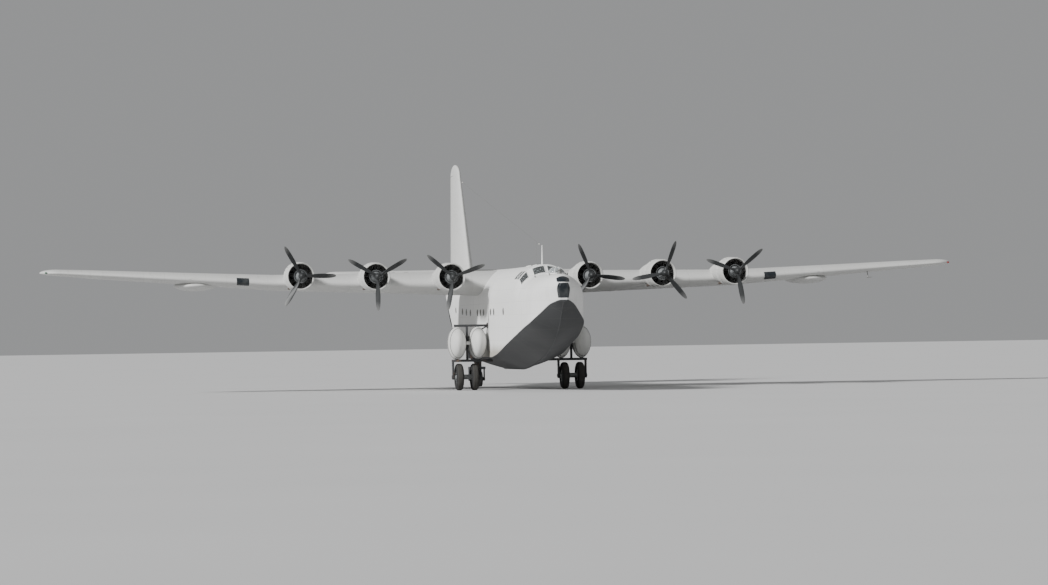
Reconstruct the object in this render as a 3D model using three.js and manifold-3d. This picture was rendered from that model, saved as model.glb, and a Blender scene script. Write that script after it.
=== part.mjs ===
import * as THREE from 'three';
import { mergeVertices } from 'three/addons/utils/BufferGeometryUtils.js';
import Module from 'manifold-3d';

// Half-scale model of a six-engined flying boat, parked on its wheeled beaching gear.
// Bow towards -Y, port side towards +X, up +Z. The origin is on the ground at mid length.

// Driving dimensions, in metres of the full-size aircraft
const METRE = 500; // millimetres of the model for one metre of the aircraft
const LENGTH = 37;
const KEEL_HEIGHT = 1.0; // forebody keel above the ground
const SEAM = 0.0007; // gap between pieces that touch
const RUNNING_GAP = 0.001; // gap between the faces of a pin and its bearing
const CLEARANCE = 0.02; // gap around a control surface

// Hull. Columns: station from the bow, keel, chine, half breadth at the chine,
// half breadth of the side, top, height of the rounded crown
const FOREBODY = [
  [0.0, 3.12, 3.22, 0.16, 0.2, 4.02, 0.4],
  [0.15, 2.98, 3.16, 0.3, 0.4, 4.22, 0.5],
  [0.45, 2.7, 3.05, 0.5, 0.62, 4.34, 0.65],
  [1.0, 2.18, 2.68, 0.84, 0.92, 4.42, 0.85],
  [1.8, 1.68, 2.25, 1.2, 1.22, 4.45, 1.1],
  [3.0, 1.18, 1.98, 1.34, 1.38, 4.46, 1.25],
  [4.3, 0.84, 1.7, 1.44, 1.47, 4.46, 1.3],
  [5.1, 0.69, 1.55, 1.48, 1.5, 4.93, 1.65],
  [7.2, 0.38, 1.2, 1.52, 1.54, 4.92, 1.55],
  [10.2, 0.08, 0.72, 1.55, 1.55, 4.92, 1.5],
  [12.0, 0.0, 0.6, 1.55, 1.55, 4.92, 1.5],
  [17.7, 0.0, 0.6, 1.55, 1.55, 4.95, 1.5],
];
const AFTERBODY = [
  [17.7, 0.32, 0.86, 1.55, 1.55, 4.95, 1.5],
  [22.5, 0.56, 1.06, 1.5, 1.54, 4.92, 1.48],
  [27.0, 0.86, 1.36, 1.16, 1.38, 4.8, 1.35],
  [31.0, 1.22, 1.72, 0.55, 1.0, 4.7, 1.05],
  [34.0, 2.36, 2.5, 0.34, 0.62, 4.62, 0.75],
  [37.0, 3.55, 3.62, 0.1, 0.2, 4.3, 0.3],
];
const COCKPIT = { front: 4.3, back: 6.9, floor: 2.7 };
// Cockpit windows. Columns: inner and outer x, front, back, sill, head
const COCKPIT_WINDOWS = [
  [0.05, 0.62, 4.2, 5.08, 4.54, 4.86],
  [0.6, 1.6, 4.5, 5.05, 4.06, 4.48],
  [0.6, 1.6, 5.15, 5.75, 4.2, 4.64],
  [0.6, 1.6, 5.85, 6.45, 4.2, 4.64],
  [0.09, 0.5, 5.15, 5.72, 4.75, 5.2],
];
const STEM_WINDOW = { half: 0.235, sill: 3.36, head: 4.0, depth: 0.34 };
const BOW_JOINT = 7.2;
const STEP = 17.7;
const TAIL_JOINT = 28.0;
const CROWN_STEPS = 8;
const CHINE_LIP = 0.04;
const SKIN = 0.04;

// Lifting surfaces. Columns: span, leading edge, chord, thickness ratio, height of the chord line
const WING = [
  [0, 14.4, 7.9, 0.165, 4.15],
  [11.6, 15.56, 5.38, 0.145, 4.35],
  [20.6, 16.46, 3.42, 0.12, 4.9],
  [22.0, 16.62, 2.95, 0.11, 4.99],
  [22.5, 16.8, 2.55, 0.105, 5.02],
  [22.8, 17.15, 1.77, 0.1, 5.035],
  [23.0, 17.5, 0.95, 0.09, 5.045],
];
const WING_JOINT = 11.6;
const TAILPLANE = [
  [0.1, 29.88, 4.33, 0.11, 4.95],
  [6.7, 31.35, 2.5, 0.1, 5.05],
  [7.1, 31.6, 2.05, 0.09, 5.06],
  [7.3, 31.95, 1.3, 0.08, 5.06],
];
// The fin's span is its height above the keel, and its chord line is the centre line.
const FIN = [
  [4.2, 28.45, 7.8, 0.1, 0],
  [10.3, 32.4, 3.3, 0.09, 0],
  [10.7, 32.85, 2.6, 0.08, 0],
  [10.9, 33.35, 1.6, 0.06, 0],
];
const AEROFOIL_STEPS = 9;
const WING_CAMBER = 0.012;
const EDGE_THICKNESS = 0.012;

// Hinged surfaces: inner and outer span, and the station of the hinge at each
const FLAP = { from: 1.75, to: 11.3, hinge: [20.25, 19.62] };
const AILERON = { from: 12.0, to: 21.4, hinge: [19.62, 19.0] };
const ELEVATOR = { from: 1.0, to: 6.4, hinge: [32.9, 32.9] };
const RUDDER = { from: 5.3, to: 10.3, hinge: [33.9, 33.9] };
const HINGE_PIN = 0.03;

// Engines. Columns: distance from the centre line, station of the propeller, angle of one blade
const ENGINES = [
  [-10.7, 11.9, 0],
  [-7.05, 11.75, -90],
  [-3.4, 11.6, 20],
  [3.4, 11.6, 113],
  [7.05, 11.75, 70],
  [10.7, 11.9, 40],
];
const ENGINE_RISE = 0.3; // thrust line above the wing's chord line
const FIREWALL = 1.55; // behind the propeller
const CYLINDERS = 9;
const CYLINDER_TOP = 0.56;
const BLADES = 3;

// Nacelle. Columns: radius, distance behind the propeller. The cowl is an open ring in front of the firewall, and the nacelle fairs back into the wing.
const NACELLE_PROFILE = [
  [0, FIREWALL], [0.6, FIREWALL], [0.6, 0.55], [0.62, 0.46], [0.655, 0.5], [0.68, 0.62], [0.69, 1.0],
  [0.675, 1.5], [0.63, 1.62], [0.61, 2.4], [0.54, 3.6], [0.36, 5.2], [0, 6.4],
];

// Propeller blade. Columns: radius, chord, thickness, pitch in degrees
const BLADE = [
  [0.1, 0.13, 0.12, 60],
  [0.35, 0.19, 0.07, 52],
  [0.8, 0.27, 0.045, 38],
  [1.35, 0.23, 0.025, 27],
  [1.65, 0.1, 0.014, 22],
];

// Beaching gear, heights above the ground
const MAIN_GEAR = { station: 13, offset: 2.6, radius: 0.65, tread: 0.38, halfWidth: 0.18, rim: 0.34 };
const TAIL_GEAR = { station: 27.2, radius: 0.4, tread: 0.17, halfWidth: 0.11 };
const SWIVEL_STATION = 27;
const CROSS_BEAM = { foot: 1.38, top: 1.5 };
const TOP_ARM = { foot: 3.09, top: 3.2 };
const AXLE = 0.07;
const HUB_END = 0.62;
const TANKS = { inner: 2.07, outer: 3.07, halfWidth: 0.44, halfLength: 1.0 };

// Entry door on the port side
const DOOR = { front: 9.2, back: 10.1, sill: 1.55, head: 3.3, gap: 0.016 };
const DOOR_HINGE = { station: 9.19, out: 1.58, radius: 0.025, foot: 1.75, top: 3.1 };

const wasm = await Module();
wasm.setup();

// Places

function place(x, station, height) {
  return [x * METRE, (station - LENGTH / 2) * METRE, (height + KEEL_HEIGHT) * METRE];
}

function interpolate(table, at) {
  const next = Math.max(1, table.findIndex((row) => row[0] >= at));
  const [low, high] = [table[next - 1], table[next]];
  const share = (at - low[0]) / (high[0] - low[0]);
  return low.map((value, column) => value + share * (high[column] - value));
}

function between(table, from, to) {
  const inner = table.filter((row) => row[0] > from + 0.01 && row[0] < to - 0.01);
  return [interpolate(table, from), ...inner, interpolate(table, to)];
}

// Solids

function volumeOf(positions, index) {
  let volume = 0;
  for (let i = 0; i < index.length; i += 3) {
    const [a, b, c] = [0, 1, 2].map((k) => new THREE.Vector3(...positions[index[i + k]]));
    volume += a.dot(b.cross(c));
  }
  return volume;
}

function capFaces(ring, start, alongRing) {
  const spans = [0, 1, 2].map((axis) => {
    const values = ring.map((point) => point[axis]);
    return Math.max(...values) - Math.min(...values);
  });
  const flat = spans.indexOf(Math.min(...spans));
  const [u, v] = [0, 1, 2].filter((axis) => axis !== flat);
  const contour = ring.map((point) => new THREE.Vector2(point[u], point[v]));
  const turn = Math.sign(THREE.ShapeUtils.area(contour));
  const faces = THREE.ShapeUtils.triangulateShape(contour, []);
  return faces.flatMap((face) => {
    const same = Math.sign(THREE.ShapeUtils.area(face.map((corner) => contour[corner]))) === turn;
    const ordered = same === alongRing ? face : [...face].reverse();
    return ordered.map((corner) => corner + start);
  });
}

function loft(rings) {
  const count = rings[0].length;
  const positions = rings.flat();
  const last = (rings.length - 1) * count;
  const index = [];
  for (let start = 0; start < last; start += count) {
    for (let i = 0; i < count; i += 1) {
      const j = (i + 1) % count;
      index.push(start + i, start + j, start + count + j);
      index.push(start + i, start + count + j, start + count + i);
    }
  }
  index.push(...capFaces(rings[0], 0, false), ...capFaces(rings.at(-1), last, true));
  if (volumeOf(positions, index) < 0) {
    index.reverse();
  }
  const geometry = new THREE.BufferGeometry();
  geometry.setAttribute('position', new THREE.Float32BufferAttribute(positions.flat(), 3));
  geometry.setIndex(index);
  return geometry;
}

function solid(geometry) {
  const bare = geometry.clone();
  bare.deleteAttribute('normal');
  bare.deleteAttribute('uv');
  const merged = mergeVertices(bare, 0.002);
  const corners = [...merged.index.array];
  const faces = [];
  for (let i = 0; i < corners.length; i += 3) {
    const [a, b, c] = corners.slice(i, i + 3);
    if (a !== b && b !== c && c !== a) {
      faces.push(a, b, c);
    }
  }
  return new wasm.Manifold(new wasm.Mesh({
    numProp: 3,
    vertProperties: new Float32Array(merged.attributes.position.array),
    triVerts: new Uint32Array(faces),
  }));
}

function geometryOf(shape) {
  const mesh = shape.getMesh();
  const geometry = new THREE.BufferGeometry();
  geometry.setAttribute('position', new THREE.Float32BufferAttribute(mesh.vertProperties, 3));
  geometry.setIndex([...mesh.triVerts]);
  return geometry;
}

function box(x0, x1, s0, s1, h0, h1) {
  const [low, high] = [place(x0, s0, h0), place(x1, s1, h1)];
  const geometry = new THREE.BoxGeometry(high[0] - low[0], high[1] - low[1], high[2] - low[2]);
  geometry.translate((low[0] + high[0]) / 2, (low[1] + high[1]) / 2, (low[2] + high[2]) / 2);
  return solid(geometry);
}

function rod(start, end, radius, sides = 12) {
  const [a, b] = [new THREE.Vector3(...start), new THREE.Vector3(...end)];
  const along = b.clone().sub(a);
  const geometry = new THREE.CylinderGeometry(radius * METRE, radius * METRE, along.length(), sides);
  const turn = new THREE.Quaternion().setFromUnitVectors(new THREE.Vector3(0, 1, 0), along.normalize());
  geometry.applyQuaternion(turn);
  geometry.translate(...a.add(b).multiplyScalar(0.5).toArray());
  return solid(geometry);
}

// Profile points are [radius, distance]; the result turns around the Y axis.
function turned(profile, segments) {
  const points = profile.map(([radius, distance]) => new THREE.Vector2(radius * METRE, distance * METRE));
  const geometry = new THREE.LatheGeometry(points, segments);
  const shape = solid(geometry);
  return shape.volume() > 0 ? shape : solid(flipped(geometry));
}

function flipped(geometry) {
  const result = geometry.clone();
  result.setIndex([...geometry.index.array].reverse());
  return result;
}

// Materials

function finish(name, colour, roughness, metalness) {
  return new THREE.MeshStandardMaterial({ name, color: colour, roughness, metalness });
}

const topsidePaint = finish('topside_paint', '#e9e9e4', 0.5, 0.1);
const bottomPaint = finish('bottom_paint', '#4a4c4d', 0.6, 0.1);
const wingPaint = finish('wing_paint', '#cfd0cc', 0.5, 0.1);
const cowlPaint = finish('cowl_paint', '#d8d8d2', 0.4, 0.2);
const engineMetal = finish('engine_metal', '#3c3d3e', 0.5, 0.8);
const bladePaint = finish('blade_paint', '#2d2f30', 0.5, 0.3);
const gearPaint = finish('gear_paint', '#3a3c3e', 0.6, 0.3);
const tankPaint = finish('tank_paint', '#d9d9d3', 0.5, 0.1);
const wheelPaint = finish('wheel_paint', '#8f9190', 0.5, 0.4);
const tyreRubber = finish('tyre_rubber', '#1f2021', 0.9, 0);
const cabinPaint = finish('cabin_paint', '#6d716d', 0.7, 0);
const glazing = finish('glazing', '#26313a', 0.1, 0);

const boat = new THREE.Group();

function add(name, shape, material, parent = boat) {
  const mesh = new THREE.Mesh(shape.isBufferGeometry ? shape : geometryOf(shape), material);
  mesh.name = name;
  parent.add(mesh);
  return mesh;
}

// Hull

function topsideRing([station, , chine, foot, side, top, crown], inset) {
  const half = [[foot - inset, chine + Math.min(inset, 0)]];
  for (let step = 0; step <= CROWN_STEPS; step += 1) {
    const angle = (step / CROWN_STEPS) * (Math.PI / 2);
    const x = step === CROWN_STEPS ? 0 : (side - inset) * Math.cos(angle);
    half.push([x, top - crown + (crown - inset) * Math.sin(angle)]);
  }
  const other = half.slice(0, -1).reverse().map(([x, height]) => [-x, height]);
  return [...half, ...other].map(([x, height]) => place(x, station, height));
}

function topsides(table, from, to, inset = 0) {
  return solid(loft(between(table, from, to).map((row) => topsideRing(row, inset))));
}

function bottomRing([station, keel, chine, foot], grow) {
  const edge = foot + CHINE_LIP + grow;
  const rise = chine - keel;
  const half = [
    [foot * 0.5, keel + rise * 0.42 - grow],
    [edge, chine - Math.min(0.03, rise * 0.25) - grow],
    [edge, chine - SEAM + grow],
  ];
  const other = [...half].reverse().map(([x, height]) => [-x, height]);
  return [[0, keel - grow], ...half, ...other].map(([x, height]) => place(x, station, height));
}

function planingBottom(table, from, to, grow = 0) {
  return solid(loft(between(table, from, to).map((row) => bottomRing(row, grow))));
}

function foreBottom(grow = 0) {
  return planingBottom(FOREBODY, 0, STEP, grow);
}

function aftBottom(grow = 0) {
  return planingBottom(AFTERBODY, STEP + SEAM, LENGTH, grow);
}

function tailHull(inset = 0) {
  return topsides(AFTERBODY, TAIL_JOINT + SEAM, LENGTH, inset);
}

function bowSection() {
  const room = topsides(FOREBODY, COCKPIT.front, COCKPIT.back, SKIN);
  const cockpit = room.intersect(box(-2, 2, COCKPIT.front - 1, COCKPIT.back + 1, COCKPIT.floor, 6));
  let bow = topsides(FOREBODY, 0, BOW_JOINT).subtract(cockpit);
  for (const [inner, outer, front, back, sill, head] of COCKPIT_WINDOWS) {
    bow = bow.subtract(box(inner, outer, front, back, sill, head));
    bow = bow.subtract(box(-outer, -inner, front, back, sill, head));
  }
  const { half, sill, head, depth } = STEM_WINDOW;
  return bow.subtract(box(-half, half, -0.5, depth, sill, head));
}

function cockpitGlass() {
  const outer = topsides(FOREBODY, COCKPIT.front + 0.03, COCKPIT.back - 0.2, SKIN + 0.002);
  const inner = topsides(FOREBODY, COCKPIT.front, COCKPIT.back, SKIN + 0.016);
  const band = box(-2, 2, COCKPIT.front - 1, 6.6, 3.9, 6);
  return outer.subtract(inner).intersect(band);
}

function cockpitInterior() {
  const floor = COCKPIT.floor + SEAM;
  let seats = box(-0.95, 0.95, 4.8, 6.4, floor, floor + 0.05);
  seats = seats.add(box(-1, 1, 4.72, 4.92, floor, 4.15));
  seats = seats.add(box(-0.16, 0.16, 4.96, 5.5, floor, 3.45));
  for (const side of [-0.58, 0.58]) {
    seats = seats.add(box(side - 0.24, side + 0.24, 5.45, 5.95, floor, 3.2));
    seats = seats.add(box(side - 0.24, side + 0.24, 5.9, 6.02, floor, 3.95));
  }
  return seats;
}

function entryLobby() {
  const { front, back, sill, head } = DOOR;
  const lobby = box(0.4, 1.49, front - 0.2, back + 0.2, sill - 0.1, head + 0.1);
  return lobby.add(box(1.4, 1.8, front, back, sill, head));
}

function doorLug(foot, top) {
  const { station, out, radius } = DOOR_HINGE;
  const barrel = rod(place(out, station, foot), place(out, station, top), radius, 10);
  return barrel.add(box(1.52, out + 0.01, station - 0.025, station + 0.012, foot, top));
}

function entryDoor() {
  const { front, back, sill, head, gap } = DOOR;
  const { station, out, radius, foot, top } = DOOR_HINGE;
  const panel = topsides(FOREBODY, BOW_JOINT, 12)
    .intersect(box(1.495, 1.8, front + gap, back - gap, sill + gap, head - gap));
  const barrel = rod(place(out, station, foot), place(out, station, top), radius, 10);
  return panel.add(barrel).add(box(1.5475, 1.57, station, front + 0.15, foot, top))
    .add(box(1.5, 1.57, front + gap, front + 0.15, foot, top));
}

function hull() {
  add('hull_bow', bowSection(), topsidePaint);
  const hinges = doorLug(DOOR_HINGE.top + RUNNING_GAP, DOOR_HINGE.top + 0.1)
    .add(doorLug(DOOR_HINGE.foot - 0.1, DOOR_HINGE.foot - RUNNING_GAP));
  const centre = topsides(FOREBODY, BOW_JOINT + SEAM, STEP).subtract(entryLobby()).add(hinges);
  add('hull_centre', centre.subtract(centreWing(SEAM)), topsidePaint);
  add('hull_aft', topsides(AFTERBODY, STEP + SEAM, TAIL_JOINT).subtract(centreWing(SEAM)), topsidePaint);
  add('hull_tail', tailHull(), topsidePaint);
  add('planing_bottom_fore', foreBottom(), bottomPaint);
  add('planing_bottom_aft', aftBottom(), bottomPaint);
  add('cockpit_glass', cockpitGlass(), glazing);
  add('cockpit_interior', cockpitInterior(), cabinPaint);
  const { half, sill, head, depth } = STEM_WINDOW;
  const pane = box(SEAM - half, half - SEAM, depth - 0.17, depth - SEAM, sill + SEAM, head - SEAM);
  add('stem_window_glass', pane, glazing);
  add('entry_door', entryDoor(), topsidePaint);
}

// Small fittings on top of the hull, each cut to the deck that it stands on

function deckFitting(name, shape, material) {
  add(name, shape.subtract(topsides(FOREBODY, 0, 12, -SEAM)), material);
}

function domeShape(station, radius, foot, height) {
  const profile = [[0, foot], [radius, foot], [radius, 4.46]];
  for (let step = 1; step <= 4; step += 1) {
    const angle = (step / 4) * (Math.PI / 2);
    const reach = step === 4 ? 0 : radius * Math.cos(angle);
    profile.push([reach, 4.46 + height * Math.sin(angle)]);
  }
  return upright(profile, station);
}

function upright(profile, station, x = 0) {
  const shape = turned(profile, 16);
  const geometry = geometryOf(shape);
  geometry.rotateX(Math.PI / 2);
  geometry.translate(...place(x, station, 0));
  return solid(geometry);
}

function fittings() {
  deckFitting('observation_dome', domeShape(1.9, 0.4, 4.2, 0.3), glazing);
  const mast = [[0, 4.8], [0.06, 4.8], [0.05, 5.1], [0.025, 5.85], [0, 5.85]];
  deckFitting('aerial_mast', upright(mast, 5.8), wingPaint);
  const bitt = [[0, 4.3], [0.07, 4.3], [0.07, 4.56], [0.13, 4.58], [0.13, 4.63], [0, 4.63]];
  deckFitting('mooring_bitt', upright(bitt, 1.05), gearPaint);
}

// Lifting surfaces

function spanwise(span, station, height) {
  return place(span, station, height);
}

function upwards(span, station, height) {
  return place(height, station, span);
}

function halfThickness(share, chord, ratio) {
  const curve = 0.2969 * Math.sqrt(share) - 0.126 * share - 0.3516 * share ** 2
    + 0.2843 * share ** 3 - 0.1036 * share ** 4;
  return 5 * ratio * chord * curve + (EDGE_THICKNESS / 2) * share;
}

function camberOf(share, chord, camber) {
  return 4 * camber * chord * share * (1 - share);
}

function aerofoilRing([span, lead, chord, ratio, lift], orient, camber, grow) {
  const upper = [];
  const lower = [];
  for (let step = 0; step <= AEROFOIL_STEPS; step += 1) {
    const share = (1 - Math.cos((step / AEROFOIL_STEPS) * Math.PI)) / 2;
    const station = lead - grow + share * (chord + 2 * grow);
    const middle = lift + camberOf(share, chord, camber);
    const half = halfThickness(share, chord, ratio) + (step > 0 ? grow : 0);
    upper.push(orient(span, station, middle + half));
    if (step > 0) {
      lower.push(orient(span, station, middle - half));
    }
  }
  return [...upper.reverse(), ...lower];
}

function mirrorTable(table) {
  const other = table.filter((row) => row[0] > 0).map((row) => [-row[0], ...row.slice(1)]);
  return [...other.reverse(), ...table];
}

function aerofoilSolid(table, from, to, orient, grow = 0) {
  const full = from < 0 ? mirrorTable(table) : table;
  const camber = table === WING ? WING_CAMBER : 0;
  const rows = between(full, from, to);
  return solid(loft(rows.map((row) => aerofoilRing(row, orient, camber, grow))));
}

// A hinged surface and the cut it leaves. Both end faces stand square to the hinge line.
function hingedSurface(table, orient, { from, to, hinge }) {
  const camber = table === WING ? WING_CAMBER : 0;
  const centre = (span) => {
    const [, lead, chord, ratio, lift] = interpolate(table, span);
    const station = hinge[0] + ((span - from) / (to - from)) * (hinge[1] - hinge[0]);
    const share = (station - lead) / chord;
    const radius = halfThickness(share, chord, ratio);
    return { station, height: lift + camberOf(share, chord, camber), radius, trail: lead + chord, lift };
  };
  const [first, last] = [centre(from), centre(to)];
  const slope = (last.station - first.station) / (to - from);
  const climb = (last.height - first.height) / (to - from);
  const square = (span, at, station, height) => orient(
    span - slope * (station - at.station) - climb * (height - at.height), station, height);
  const surfaceRing = (span) => {
    const at = centre(span);
    const points = [[at.trail, at.lift - EDGE_THICKNESS / 2], [at.trail, at.lift + EDGE_THICKNESS / 2]];
    for (let step = 0; step <= 6; step += 1) {
      const angle = Math.PI / 2 + (step / 6) * Math.PI;
      points.push([at.station + at.radius * Math.cos(angle), at.height + at.radius * Math.sin(angle)]);
    }
    return points.map(([station, height]) => square(span, at, station, height));
  };
  const cutRing = (span, shift) => {
    const at = centre(span);
    const front = at.station - at.radius - CLEARANCE;
    const corners = [[front, -1], [at.trail + 1, -1], [at.trail + 1, 1], [front, 1]];
    return corners.map(([station, side]) => square(span + shift, at, station, at.height + side));
  };
  const pin = (span, direction) => {
    const at = centre(span);
    const along = (distance) => orient(span + direction * distance,
      at.station + slope * direction * distance, at.height + climb * direction * distance);
    return rod(along(RUNNING_GAP), along(CLEARANCE * 3), HINGE_PIN, 8);
  };
  return {
    surface: solid(loft([surfaceRing(from), surfaceRing(to)])),
    cut: solid(loft([cutRing(from, -CLEARANCE), cutRing(to, CLEARANCE)])),
    pins: pin(from, -1).add(pin(to, 1)),
  };
}

function cutFor(shape, hinged) {
  return shape.subtract(hinged.cut).add(hinged.pins);
}

function mirrored(shape) {
  const geometry = geometryOf(shape);
  geometry.scale(-1, 1, 1);
  return solid(flipped(geometry));
}

function centreWing(grow = 0) {
  return aerofoilSolid(WING, -WING_JOINT, WING_JOINT, spanwise, grow);
}

function outerWing(grow = 0) {
  return aerofoilSolid(WING, WING_JOINT + SEAM, 23, spanwise, grow);
}

function wing() {
  const flap = hingedSurface(WING, spanwise, FLAP);
  const aileron = hingedSurface(WING, spanwise, AILERON);
  let centre = cutFor(centreWing(), flap);
  centre = centre.subtract(mirrored(flap.cut)).add(mirrored(flap.pins));
  for (const x of [-2.2, 2.2]) {
    centre = centre.add(rod(place(x, 17.2, 4.4), place(x, 17.2, 4.95), 0.12, 16));
  }
  add('wing_centre', centre, wingPaint);
  const outer = cutFor(outerWing(), aileron);
  const pieces = [
    ['wing_outer', outer],
    ['flap', flap.surface],
    ['aileron', aileron.surface],
    ['float', stowedFloat()],
  ];
  for (const [name, shape] of pieces) {
    add(`${name}_port`, shape, wingPaint);
    add(`${name}_starboard`, mirrored(shape), wingPaint);
  }
}

// Each float folds into two halves that lie side by side, flush under the outer wing.
function stowedFloat() {
  const lens = new THREE.SphereGeometry(METRE, 14, 8);
  lens.scale(1.05, 1.5, 0.26);
  lens.translate(...place(15.4, 17.5, 4.3));
  return solid(lens).subtract(outerWing(SEAM));
}

function tail() {
  const rudder = hingedSurface(FIN, upwards, RUDDER);
  const elevator = hingedSurface(TAILPLANE, spanwise, ELEVATOR);
  const deck = tailHull(-SEAM);
  const fin = cutFor(aerofoilSolid(FIN, 4.2, 10.9, upwards), rudder).subtract(deck);
  add('fin', fin, wingPaint);
  add('rudder', rudder.surface, wingPaint);
  const plane = cutFor(aerofoilSolid(TAILPLANE, 0.1, 7.3, spanwise), elevator)
    .subtract(aerofoilSolid(FIN, 4.2, 10.9, upwards, SEAM))
    .subtract(deck);
  add('tailplane_port', plane, wingPaint);
  add('tailplane_starboard', mirrored(plane), wingPaint);
  add('elevator_port', elevator.surface, wingPaint);
  add('elevator_starboard', mirrored(elevator.surface), wingPaint);
}

// Engines

function nacelle(x, plane, height) {
  const geometry = geometryOf(turned(NACELLE_PROFILE, 20));
  geometry.translate(...place(x, plane, height));
  return solid(geometry).subtract(centreWing(SEAM));
}

function radialEngine() {
  let engine = turned([
    [0, 0.16], [0.06, 0.16], [0.06, 0.36], [0.14, 0.4], [0.2, 0.56], [0.27, 0.64], [0.27, 1.2],
    [0.42, 1.28], [0.42, FIREWALL - SEAM], [0, FIREWALL - SEAM],
  ], 12);
  for (let i = 0; i < CYLINDERS; i += 1) {
    const angle = (i / CYLINDERS) * Math.PI * 2 + Math.PI / 2;
    const [x, z] = [Math.cos(angle), Math.sin(angle)];
    const [foot, top] = [0.2, CYLINDER_TOP].map((r) => [x * r * METRE, 0.92 * METRE, z * r * METRE]);
    engine = engine.add(rod(foot, top, 0.11, 6));
  }
  return engine;
}

function bladeRing([radius, chord, thickness, pitch]) {
  const twist = THREE.MathUtils.degToRad(pitch);
  const outline = [[-0.5, 0], [-0.22, 0.5], [0.22, 0.42], [0.5, 0], [0.22, -0.42], [-0.22, -0.5]];
  return outline.map(([u, v]) => {
    const section = new THREE.Vector2(v * thickness, u * chord).rotateAround(new THREE.Vector2(), twist);
    return [radius * METRE, section.x * METRE, section.y * METRE];
  });
}

function propeller() {
  let shape = turned([
    [0, -0.26], [0.09, -0.22], [0.15, -0.1], [0.17, 0], [0.17, 0.1],
    [0.1, 0.16 - RUNNING_GAP], [0, 0.16 - RUNNING_GAP],
  ], 12);
  for (let i = 0; i < BLADES; i += 1) {
    const blade = loft(BLADE.map(bladeRing));
    blade.rotateY((i / BLADES) * Math.PI * 2);
    shape = shape.add(solid(blade));
  }
  return shape;
}

function engines() {
  const [engineShape, propellerShape] = [geometryOf(radialEngine()), geometryOf(propeller())];
  ENGINES.forEach(([x, plane, blade], i) => {
    const height = interpolate(WING, Math.abs(x))[4] + ENGINE_RISE;
    add(`nacelle_${i + 1}`, nacelle(x, plane, height), cowlPaint);
    const station = new THREE.Group();
    station.position.set(...place(x, plane, height));
    boat.add(station);
    add(`engine_${i + 1}`, engineShape, engineMetal, station);
    const spinning = add(`propeller_${i + 1}`, propellerShape, bladePaint, station);
    spinning.rotation.y = -THREE.MathUtils.degToRad(blade);
  });
}

// Beaching gear

function ground(height) {
  return height - KEEL_HEIGHT;
}

// A wheel's parts turn around the X axis through the origin of their group.
function wheelRing(profile, segments) {
  const geometry = geometryOf(turned([...profile, profile[0]], segments));
  geometry.rotateZ(-Math.PI / 2);
  return geometry;
}

function hubProfile({ tread, halfWidth, rim }, bore, end) {
  const [inner, outer] = [tread - halfWidth * 0.65, tread + halfWidth * 0.65];
  const waist = bore * 2;
  const half = [[bore, end], [waist, end], [waist, outer], [rim, outer], [rim, inner], [waist, inner]];
  return [...half, ...[...half].reverse().map(([r, x]) => [r, -x])];
}

function tyreProfile({ radius, tread, halfWidth, rim }, end) {
  const bead = rim + SEAM;
  const depth = radius - bead;
  const section = [
    [bead, -0.85], [bead + depth * 0.5, -1], [bead + depth * 0.85, -0.8], [radius, -0.4],
    [radius, 0.4], [bead + depth * 0.85, 0.8], [bead + depth * 0.5, 1], [bead, 0.85],
  ];
  return section.map(([r, u]) => [r, end * tread + u * halfWidth]);
}

function twinWheels(prefix, wheel, side, bore, hubEnd) {
  const axle = new THREE.Group();
  axle.position.set(...place(side * wheel.offset, wheel.station, ground(wheel.radius)));
  boat.add(axle);
  add(`${prefix}_hub`, wheelRing(hubProfile(wheel, bore, hubEnd), 24), wheelPaint, axle);
  [-1, 1].forEach((end, i) => {
    add(`${prefix}_tyre_${i + 1}`, wheelRing(tyreProfile(wheel, end), 24), tyreRubber, axle);
  });
}

// The small tail wheels are one casting, each with its solid tyre.
function tailWheels() {
  const { radius, tread, halfWidth, station } = TAIL_GEAR;
  const [inner, outer] = [tread - halfWidth, tread + halfWidth];
  const [bore, waist, end, bevel] = [0.047, 0.1, 0.36, 0.04];
  const half = [
    [bore, end], [waist, end], [waist, outer], [radius - bevel, outer], [radius, outer - bevel],
    [radius, inner + bevel], [radius - bevel, inner], [waist, inner],
  ];
  const geometry = wheelRing([...half, ...[...half].reverse().map(([r, x]) => [r, -x])], 20);
  add('wheels_tail', geometry, tyreRubber).position.set(...place(0, station, ground(radius)));
}

function gearFrame() {
  const { station, offset, radius } = MAIN_GEAR;
  const [front, back] = [station - 0.3, station + 0.3];
  let frame = box(1.1, 3.3, front, back, ground(CROSS_BEAM.foot), ground(CROSS_BEAM.top));
  frame = frame.add(box(1.5, 3.2, front + 0.2, back - 0.2, ground(TOP_ARM.foot), ground(TOP_ARM.top)));
  frame = frame.add(box(2.53, 2.61, front + 0.15, back - 0.15, ground(CROSS_BEAM.foot), ground(TOP_ARM.top)));
  for (const end of [-1, 1]) {
    const x = offset + end * (HUB_END + 0.05);
    const plate = box(x - 0.04, x + 0.04, station - 0.16, station + 0.16, ground(0.52), ground(1.4));
    frame = frame.add(plate);
  }
  const axleEnds = [-HUB_END - 0.06, HUB_END + 0.06];
  const [inner, outer] = axleEnds.map((x) => place(offset + x, station, ground(radius)));
  frame = frame.add(rod(inner, outer, AXLE, 16));
  return frame.subtract(foreBottom(SEAM)).subtract(topsides(FOREBODY, BOW_JOINT, STEP, -SEAM));
}

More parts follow.
